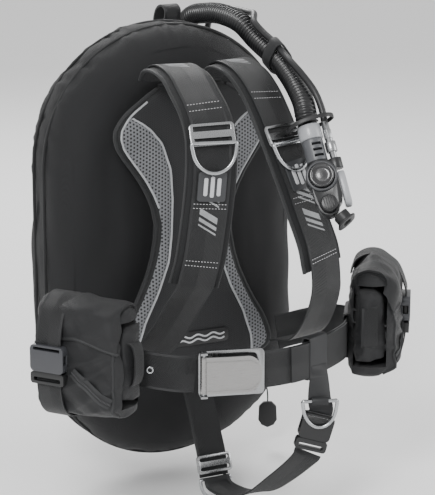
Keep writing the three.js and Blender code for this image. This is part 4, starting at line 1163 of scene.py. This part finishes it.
lever = bend("buckle_lever", 44, 60, lever_point)
edit(lever, weld(2e-5))
thicken(lever, 0.002, offset=-1.0)
roll = Route([buckle_spot(-38, y, 6.2) for y in (-25, -12, 0, 12, 25)])
barrel = cording("roll", roll, buckle_x, 0.0044, 22, 12)
soften(barrel, 0.0006)
lever = join("buckle_lever", [lever, barrel])
edit(lever, face_out)
hand_over(lever, lever_steel, "waist_lever", "stainless", "waist_buckle_lever")
print("lever:", len(lever.data.polygons), "faces")

# %% [markdown]
# ## Weight pockets
#
# A weight pocket is a filled bag. We start from a box a little smaller than the CAD piece, remesh it
# into small even faces, and let the cloth solver blow it up under a little pressure, so that it swells
# between its corners as a stuffed bag does. Folds are then added along the skin's own direction.

# %% Stuffed bags
def pocket_frame(side):
    sign = -1 if side == "right" else 1
    forward = Vector((-sign * 0.5592, -0.829, 0))
    out = Vector((sign * 0.829, -0.5592, 0))
    centre = spot(sign * 222, -247, -118)
    return stand(centre, forward, UP, out)


def swell(piece, pressure, reach):
    """Blows the mesh up like a filled bag, with no point moving further than reach."""
    rest = [v.co.copy() for v in piece.data.vertices]
    choose(piece)
    cloth = piece.modifiers.new("Cloth", "CLOTH")
    cloth.settings.quality = 4
    cloth.settings.use_pressure = True
    cloth.settings.uniform_pressure_force = pressure
    cloth.settings.tension_stiffness = 20
    cloth.settings.compression_stiffness = 12
    cloth.settings.bending_stiffness = 0.6
    cloth.settings.effector_weights.gravity = 0
    cloth.point_cache.frame_end = 20
    for step in range(1, 21):
        bpy.context.scene.frame_set(step)
    bpy.ops.object.modifier_apply(modifier=cloth.name)
    bpy.context.scene.frame_set(1)
    for vertex, start in zip(piece.data.vertices, rest):
        move = vertex.co - start
        if move.length > reach:
            vertex.co = start + move * (reach / move.length)


PRESSURE, SWELL_LIMIT = 4.0, 0.007
FOLD_DEPTH, WRINKLE_DEPTH, VALLEY_DEPTH = 0.0034, 0.0014, 0.006


def bag(name, size, seed, puff=0.22, lean=0.0):
    """A stuffed bag round the origin, X forwards, Y up, Z outwards. lean drops its outer top edge."""
    deselect()
    bpy.ops.mesh.primitive_cube_add(size=1)
    piece = bpy.context.object
    piece.name = name
    edit(piece, lambda: bpy.ops.mesh.subdivide(number_cuts=11))
    for vertex in piece.data.vertices:
        x, y, z = (2 * c for c in vertex.co)
        ball = Vector((x, y, z)).normalized() * max(abs(x), abs(y), abs(z))
        mixed = Vector((x, y, z)).lerp(ball, puff)
        tuck = 1 - 0.12 * max(0, z) * (x * x + y * y) / 2
        vertex.co = Vector((mixed.x * size[0] / 2 * tuck, mixed.y * size[1] / 2 * tuck,
                            mixed.z * size[2] / 2 * (1 - 0.1 * y)))
    modifier(piece, "REMESH", mode="VOXEL", voxel_size=0.005)
    swell(piece, PRESSURE, SWELL_LIMIT)
    smooth(piece)
    for vertex in piece.data.vertices:
        x, y, z = vertex.co
        drop = lean * max(0, z / size[2] + 0.1) * max(0, y / size[1] + 0.3)
        fold = noise.noise(Vector((x * 14 + y * 26 + seed, y * 10 - x * 8, z * 16)))
        tight = noise.noise(Vector((x * 62 + y * 40, y * 30 + seed, z * 40)))
        valley = -abs(noise.noise(Vector((x * 22 - y * 34, y * 20 + seed * 2, z * 26)))) + 0.2
        out = Vector((x / size[0], y / size[1], 1.3 * z / size[2])).normalized()
        rise = FOLD_DEPTH * fold + WRINKLE_DEPTH * tight + VALLEY_DEPTH * valley
        vertex.co = Vector((x, y - drop, z)) + out * rise
    return piece


# %% [markdown]
# A box is cut out of each bag for its pouch, which slides in from the front end. The pouch is a
# tighter bag, a little smaller than that room, with a loop of webbing to pull it by. The two pockets
# mirror each other, apart from how far they lean.

# %% Pockets and pouches
POCKET_SIZE = (0.136, 0.154, 0.062)
ROOM_SIZE, ROOM_AT = (0.136, 0.115, 0.046), (0.012, 0, -0.006)
POUCH_SIZE, POUCH_AT = (0.128, 0.106, 0.039), (0.0072, 0, -0.006)
LEAN = {"right": 0.006, "left": 0.02}
POCKET_FOLDS, POUCH_FOLDS = 3.0, 5.0
GRIP_ARC = [(0.062, 0.03), (0.0705, 0.027), (0.0748, 0.016), (0.0758, 0), (0.0748, -0.016),
            (0.0705, -0.027), (0.062, -0.03)]

for side in ("right", "left"):
    place = pocket_frame(side)
    body = bag(f"pocket_bag_{side}", POCKET_SIZE, POCKET_FOLDS, lean=LEAN[side])
    cut_box(body, ROOM_AT, ROOM_SIZE)
    body.data.transform(place)
    edit(body, face_out)
    hand_over(body, pocket_cloth, "harness", "pocket_nylon", f"pocket_{side}", angle=50)
    pouch = bag(f"pouch_{side}", POUCH_SIZE, POUCH_FOLDS, 0.12)
    pouch.data.transform(place @ Matrix.Translation(POUCH_AT))
    edit(pouch, face_out)
    hand_over(pouch, pocket_cloth, f"weight_pouch_{side}", "pocket_nylon", f"weight_pouch_{side}",
              angle=50)
    grip = Route([place @ Vector((x, y, POUCH_AT[2])) for x, y in GRIP_ARC])
    handle = ribbon(f"pouch_handle_{side}", grip, place.to_3x3() @ UP, 0.022, 0.002, 6, 40)
    hand_over(handle, narrow_web, f"weight_pouch_{side}", "webbing")
    print(side, "pocket:", len(body.data.polygons), "faces, pouch:", len(pouch.data.polygons))

# %% [markdown]
# Over the bag lie a lid of doubled cloth with a bound edge, the closing strap, a zip along the lower
# side, and the side-release buckle. They have to lie on the bag wherever it swelled to, so we ask the
# bag itself: a ray shot at it from outside gives the place on its skin.

# %% Lid and seams
def on_skin(body, place, x, turn, lift):
    """The place on the bag's skin at x along it, turn degrees up from straight outwards, in metres."""
    a = math.radians(turn)
    way = Vector((0, math.sin(a), math.cos(a)))
    core = Vector((x, 0.012 * math.sin(a), -0.006))
    start, towards = place @ (core + way * 0.3), place.to_3x3() @ -way
    hit, where, *_ = body.ray_cast(start, towards)
    found = place.inverted() @ where if hit else core + way * 0.03
    return place @ (found + way * lift)


def skin_line(body, place, points, lift):
    return Route([on_skin(body, place, x, turn, lift) for x, turn in points])


def trim(piece, finish, slot, *nodes, angle=40):
    return hand_over(piece, finish, "harness", slot, *nodes, angle=angle)


LID_TOP_TURN, LID_SWEEP, LID_SAG = 122, 92, 5
LID_THICKNESS, HEM_RADIUS, SEAM_RADIUS, SEAM_INSET = 0.0032, 0.0026, 0.0018, 0.012


def pocket_lid(side, place, body, half):
    def lid_point(s, t):
        x = (2 * s - 1) * (half - 0.007 * abs(2 * s - 1) ** 6)
        turn = LID_TOP_TURN - LID_SWEEP * t - LID_SAG * math.cos(math.pi * s * 2) * t
        puff = 0.0035 * math.sin(math.pi * t) + 0.0018 * noise.noise(Vector((x * 45, t * 5, 2)))
        return on_skin(body, place, x * 0.985, turn, 0.0022 + puff)

    lid = bend(f"pocket_lid_{side}", 48, 44, lid_point)
    modifier(lid, "SMOOTH", factor=0.5, iterations=3)
    thicken(lid, LID_THICKNESS)
    edit(lid, face_out)
    trim(lid, pocket_cloth, "pocket_nylon", angle=60)
    hem = Route([lid_point(i / 40, 1.0) for i in range(41)])
    piece = cording(f"pocket_hem_{side}", hem, place.to_3x3() @ UP, HEM_RADIUS, 8, 60)
    trim(piece, tape, "pocket_nylon", angle=70)


def pocket_seams(side, place, body, half):
    seams = []
    for end in (-1, 1):
        points = [(end * (half - SEAM_INSET), 178 - 250 * i / 40) for i in range(41)]
        line = skin_line(body, place, points, 0.0006)
        seams.append(cording("seam", line, place.to_3x3() @ sideways, SEAM_RADIUS, 8, 90))
    trim(join(f"pocket_seams_{side}", seams), tape, "pocket_nylon", angle=70)


# %% [markdown]
# The closing strap comes over the lid to the buckle's socket. Below the plug its loose end would stretch
# when the plug is pulled; here it is a separate strip baked in place.

# %% Closing strap
CLIP_X = -0.032
TRIM_THICKNESS = 0.0021


def closing_strap(side, place, body):
    across = place.to_3x3() @ sideways
    refine(f"pocket_socket_{side}", f"clip_socket_{side}", acetal_grey, 0.0012, "clip_grey")
    refine(f"pocket_plug_{side}", f"clip_plug_{side}", acetal, 0.001, "clip_black")
    web = [place @ spot(1000 * CLIP_X, y, z) for y, z in ((22, 40.5), (29, 41.5))]
    web += [on_skin(body, place, CLIP_X, turn, 0.0085) for turn in (48, 58, 70, 82, 96, 110, 124)]
    piece = ribbon(f"pocket_web_{side}", Route(web), across, NARROW_WIDTH, TRIM_THICKNESS, 8, 60)
    trim(piece, narrow_web, "webbing", f"pocket_strap_{side}")
    tail = [place @ spot(1000 * CLIP_X, y, z) for y, z in ((-21, 40.5), (-29, 41))]
    tail += [on_skin(body, place, CLIP_X, turn, 0.0035) for turn in (-50, -60, -72, -84, -98)]
    tail = Route(tail)
    piece = ribbon(f"pocket_tail_{side}", tail, across, NARROW_WIDTH - 0.002, TRIM_THICKNESS, 8, 50)
    hand_over_flexing(piece, narrow_web, f"pocket_plug_{side}", "webbing", tail.point(0.8),
                      tail.point(0.12))


# %% [markdown]
# The zip is a tape with a row of teeth, made by the stitch tool with larger lumps. Behind the pocket a
# flat tunnel of cloth goes round the belt. It sits a little lower on the left, as that half of the belt
# does.

# %% Zip and belt tunnel
TUNNEL_MIDDLE = {"right": -13.5, "left": -19.5}
TUNNEL_LOOP = [(-29, -33), (-30.5, -37), (-29, -42.4), (-15, -43), (0, -43), (15, -43), (29, -42.4),
               (30.5, -37), (29, -33)]


def pocket_zip(side, place, body):
    facing = place.to_3x3()
    line = skin_line(body, place, [(0.054 * i / 5, -10 - 36 * i / 5) for i in range(6)], 0.0012)
    piece = ribbon(f"pocket_zip_tape_{side}", line, facing @ rearwards, 0.015, 0.0012, 6, 50)
    trim(piece, tape, "pocket_nylon")
    out = facing @ Vector((0, -0.4, 1)).normalized()
    teeth = [(line.point(t) + out * 0.0013, facing @ Vector((0.3, 1, 0)), out)
             for t in line.spaced(36)]
    stitch_rows(f"pocket_zip_teeth_{side}", teeth, dark_thread, 0.0046, 0.0013, slot="pocket_nylon")


def belt_tunnel(side, place):
    loop = Route([place @ spot(9, TUNNEL_MIDDLE[side] + y, z) for y, z in TUNNEL_LOOP])
    piece = ribbon(f"pocket_belt_tunnel_{side}", loop, place.to_3x3() @ sideways, 0.07, 0.002, 8, 60)
    trim(piece, pocket_cloth, "pocket_nylon")


for side in ("right", "left"):
    place = pocket_frame(side)
    body = bpy.data.objects[f"pocket_bag_{side}"]
    half = POCKET_SIZE[0] / 2
    pocket_lid(side, place, body, half)
    pocket_seams(side, place, body, half)
    closing_strap(side, place, body)
    pocket_zip(side, place, body)
    belt_tunnel(side, place)

# %% [markdown]
# ## Crotch strap
#
# Webbing comes down from under the pad, through a steel slide, round the rear ring's bar, and forward
# and up to a buckle that hangs with its D-ring from a loop on the belt. In the vest the front part follows
# the buckle's plug when it is pulled; here it is baked in place from the rear ring to the plug.

# %% Crotch strap
REAR = Route([(0, -118, -193.4), (0, -124, -212), (0, -142, -245), (0, -161, -282), (0, -174, -308),
              (0, -179, -325), (0, -182.6, -339)])
piece = ribbon("crotch_web_rear", REAR, sideways, 0.044, WEBBING_THICKNESS, 10, 60)
hand_over(piece, strap_web, "harness", "webbing", "crotch_strap_rear")
refine("crotch_slide", "crotch_ladder", plate_steel, 0.0008, "stainless")
ring_at = Matrix.Translation(spot(0, -187, -341)) @ Matrix.Rotation(math.radians(90), 4, "X")
wire_ring("crotch_ring_wire_rear", ring_at, 0.05, 0.034, 0.005, "crotch_ring_rear", "crotch_ring_rear")

CLIP_AT = spot(80, -326, -236)
clip_up = Vector((0.24, -0.14, 0.96)).normalized()
clip_out = Vector((0.92, -0.36, 0)).cross(clip_up).normalized()
clip_x = clip_up.cross(clip_out)
on_clip = stand(CLIP_AT, clip_x, clip_up, clip_out)
FRONT = Route([(0, -191.8, -337), (0, -194, -346), (9, -222, -352), (30, -256, -343), (48, -288, -316),
               on_clip @ spot(-1, -45, 0), on_clip @ spot(0, -38, 0)])
turns = [Vector((1, 0, 0)), Vector((0.98, -0.15, 0.1)), Vector((0.95, -0.3, 0.05)),
         Vector((0.92, -0.36, 0))]
piece = ribbon("crotch_web_front", FRONT, turns, NARROW_WIDTH, WEBBING_THICKNESS, 8, 80)
hand_over_flexing(piece, narrow_web, "crotch_plug", "webbing", FRONT.point(0.3), FRONT.point(1),
                  "crotch_strap_front")
refine("crotch_socket", "crotch_clip_socket", acetal, 0.0014, "clip_black")
refine("crotch_plug", "crotch_clip_plug", acetal, 0.001, "clip_black")
refine("crotch_belt_loop", "crotch_hanger", narrow_web, 0.0007, "webbing")
print("crotch strap, m:", round(run_length(REAR), 3), round(run_length(FRONT), 3))
ring_x = Vector((0.92, -0.36, 0)).normalized()
ring_at = stand(spot(79, -337.2, -197), ring_x, UP, ring_x.cross(UP))
wire_ring("crotch_ring_wire_front", ring_at, 0.05, 0.042, 0.005, "crotch_ring_front",
          "crotch_ring_front")

# %% [markdown]
# ## Inflator
#
# The inflator hangs on the hose's end: a grey cuff, a slotted cage, and a black body with a big glossy
# inflate button, a small ridged deflate button, a silver side cover and a mouthpiece.

# %% Inflator housing
inflator_up = Vector((0, 0.504, 0.864)).normalized()
inflator_out = Vector((0.885, -0.404, 0.235)).cross(inflator_up).normalized()
inflator_x = inflator_up.cross(inflator_out)
on_inflator = stand(spot(75.5, -304, 172), inflator_x, inflator_up, inflator_out)

print("inflator hangs at", tuple(round(c, 3) for c in on_inflator.translation))
refine("hose_cuff", "inflator_cuff", silver, 0.0012, "silver_plastic")
refine("inflator_cage", "inflator_cage_moulding", cage_grey, 0.0006, "grey_plastic")
refine("inflator_body", "inflator_housing", body_plastic, 0.0014, "inflator_black")
refine("inflator_cover", "inflator_side_cover", silver, 0.0022, "silver_plastic", segments=4)
refine("mouthpiece", "inflator_mouthpiece", soft_rubber, 0.0012, "soft_rubber", segments=3)
refine("hose_coupling", "quick_coupling", plated, 0.0006, "chromed_brass")
refine("coupling_collar", "quick_coupling_collar", plated, 0.0007, "chromed_brass")
refine("hose_keeper", "hose_keeper_wrap", tape, 0.0005, "webbing")
refine("retaining_ring", "elastic_ring", soft_rubber, 0.0005, "soft_rubber")

# %% [markdown]
# The two buttons and the bezel are turned pieces, so each is a profile spun about its own axis. The
# big button has a raised rim round a shallow dish. The small one has five ridges for a gloved finger.

# %% Buttons
button_at = on_inflator @ Matrix.Translation(spot(0, -73, 16.4))
button = turned("big_button", [(0, -5), (15.2, -5), (16, -4.4), (16, 3.2), (15.7, 4.3), (14.9, 4.9),
                               (13.6, 5), (12.6, 4.4), (11.8, 3.4), (8, 3.2), (4, 3.5), (0, 3.6)],
                button_at, 56)
hand_over(button, gloss, "inflate_button", "button_gloss", "inflate_button", angle=50)
small_at = on_inflator @ Matrix.Translation(spot(0, -112, 18.2))
cap = turned("small_button", [(0, -6), (10.4, -6), (11, -5.4), (11, 4.6), (10.4, 5.8), (9.2, 6.2),
                              (5, 6.5), (0, 6.6)], small_at, 44)
RIDGE_PITCH, RIDGE_REACH = 0.003, 0.009
ridges = [pill("ridge", 0.0013, math.sqrt(RIDGE_REACH ** 2 - (k * RIDGE_PITCH) ** 2) * 2, 0.0016,
               small_at @ Matrix.Translation((k * RIDGE_PITCH, 0, 0.0068)), 0.0004, 0.0003)
          for k in (-2, -1, 0, 1, 2)]
hand_over(join("small_button", [cap, *ridges]), acetal, "deflate_button", "inflator_black",
          "deflate_button", angle=50)
bezel = turned("button_bezel", [(16.6, 0), (20.6, 0), (20.9, 0.8), (20.2, 2.4), (18.6, 3.1), (17.2, 2.8),
                                (16.6, 1.8), (16.6, 0)],
               on_inflator @ Matrix.Translation(spot(0, -73, 12.9)), 56)
edit(bezel, weld(1e-5), face_out)
hand_over(bezel, housing_grey, "harness", "inflator_black", angle=50)
print("buttons:", button.name, cap.name)

# %% [markdown]
# ## The rear: tank band, cam buckle, handle, elbow and dump valve
#
# The band is laid again as webbing, so that its weave runs along it. It goes round the cylinder and
# through the two slots of the plate. The buckle and the plate have the right shape already, so they
# are refined: their facets are merged, their edges are rounded, and each gets its own finish.

# %% Tank band, cam buckle and plate
TANK_RADIUS, BAND_X = 87.6, 36
start = -math.acos(BAND_X / TANK_RADIUS)
sweep = math.pi - 2 * start
angles = [start + sweep * i / 40 for i in range(41)]
loop = [spot(TANK_RADIUS * math.cos(a), TANK_RADIUS * math.sin(a), 0) for a in angles]
loop += [spot(-BAND_X, -88, 0), spot(-BAND_X, -101, 0), spot(-34, -106.4, 0), spot(-28, -107, 0),
         spot(0, -107, 0), spot(28, -107, 0), spot(34, -106.4, 0), spot(BAND_X, -101, 0),
         spot(BAND_X, -88, 0)]
band = ribbon("tank_band_web", Route(loop, closed=True), UP, STRAP_WIDTH, WEBBING_THICKNESS, 10, 220)
hand_over(band, strap_web, "harness", "webbing", "tank_band")
refine("tank_buckle_frame", "cam_frame", plate_steel, 0.0007, "stainless")
refine("tank_buckle_pin", "cam_pin", wire_steel, 0.0004, "stainless")
refine("tank_buckle_lever", "cam_lever", lever_steel, 0.0007, "stainless")
refine("backplate", "plate_moulding", acetal, 0.001, "plate_plastic")
print("band, m:", round(run_length(Route(loop, closed=True)), 3))

# %% [markdown]
# The grab handle is webbing too, a loop behind the cell's top edge. The hose's elbow and the dump
# valve are hard mouldings, so they are refined like the buckle.

# %% Handle, elbow and dump valve
GRIP = Route([(42, 41, 238), (42, 37, 258), (42, 24, 276), (42, 22, 288), (42, 34, 294), (42, 50, 287),
              (42, 59, 268), (42, 58, 238)])
handle = ribbon("handle_web", GRIP, sideways, 0.025, 0.0029, 8, 60)
hand_over(handle, narrow_web, "harness", "webbing", "grab_handle")
refine("hose_elbow", "elbow_moulding", body_plastic, 0.0008, "plate_plastic")
refine("elbow_flange", "elbow_base", acetal, 0.0008, "plate_plastic")
refine("dump_valve", "dump_valve_cap", acetal, 0.0012, "plate_plastic", segments=3)
refine("dump_plunger", "dump_valve_plunger", acetal_grey, 0.0008, "inflator_black")
refine("dump_toggle", "dump_pull", soft_rubber, 0.0015, "soft_rubber", segments=3)
print("handle, m:", round(run_length(GRIP), 3))

# %% [markdown]
# The dump cord is limp and thin. In the vest its upper end stays at the valve and its lower end follows
# the toggle; here it is baked in place, and its length is printed.

# %% Dump cord
cord = cording("dump_line", DUMP_CORD, rearwards, DUMP_CORD_WIDTH / 2, 8, 60)
hand_over_flexing(cord, tape, "dump_toggle", "cord", DUMP_CORD.point(0), DUMP_CORD.point(0.9),
                  "dump_cord")
DUMP_CORD.point(0)
run_length(DUMP_CORD)
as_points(line_of(DUMP_CORD))
print("dump cord, m:", round(run_length(DUMP_CORD), 3))

# %% [markdown]
# ## Studio
#
# A pale floor, a pale surround and three soft lamps. The big lamp above and to the left of the camera
# models the folds, the second one fills from the right, and a third behind picks out the edges.

# %% Floor and light
FLOOR_Z = cad_box[0][2] - 0.004
deselect()
bpy.ops.mesh.primitive_plane_add(size=30, location=(0, 0, FLOOR_Z))
floor = bpy.context.object
floor.name = "studio_floor"
floor_paint = Finish("studio_floor", (0.93, 0.93, 0.93), 0.9)
floor.data.materials.append(floor_paint.material)

world = bpy.data.worlds.new("studio")
bpy.context.scene.world = world
world.use_nodes = True
world.node_tree.nodes["Background"].inputs["Color"].default_value = (1, 1, 1, 1)
world.node_tree.nodes["Background"].inputs["Strength"].default_value = 0.95


def lamp(name, place, size, power):
    bpy.ops.object.light_add(type="AREA", location=place)
    made = bpy.context.object
    made.name = name
    made.data.shape = "DISK"
    made.data.size = size
    made.data.energy = power
    made.rotation_euler = (made.location - Vector((0, -0.1, 0))).to_track_quat("Z", "Y").to_euler()


lamp("key", (-1.8, -1.9, 1.9), 1.2, 75)
lamp("fill", (2.1, -1.6, 0.9), 1.6, 26)
lamp("rim", (0.6, 2.2, 1.6), 1.2, 40)
print("lamps:", len(bpy.data.lights))
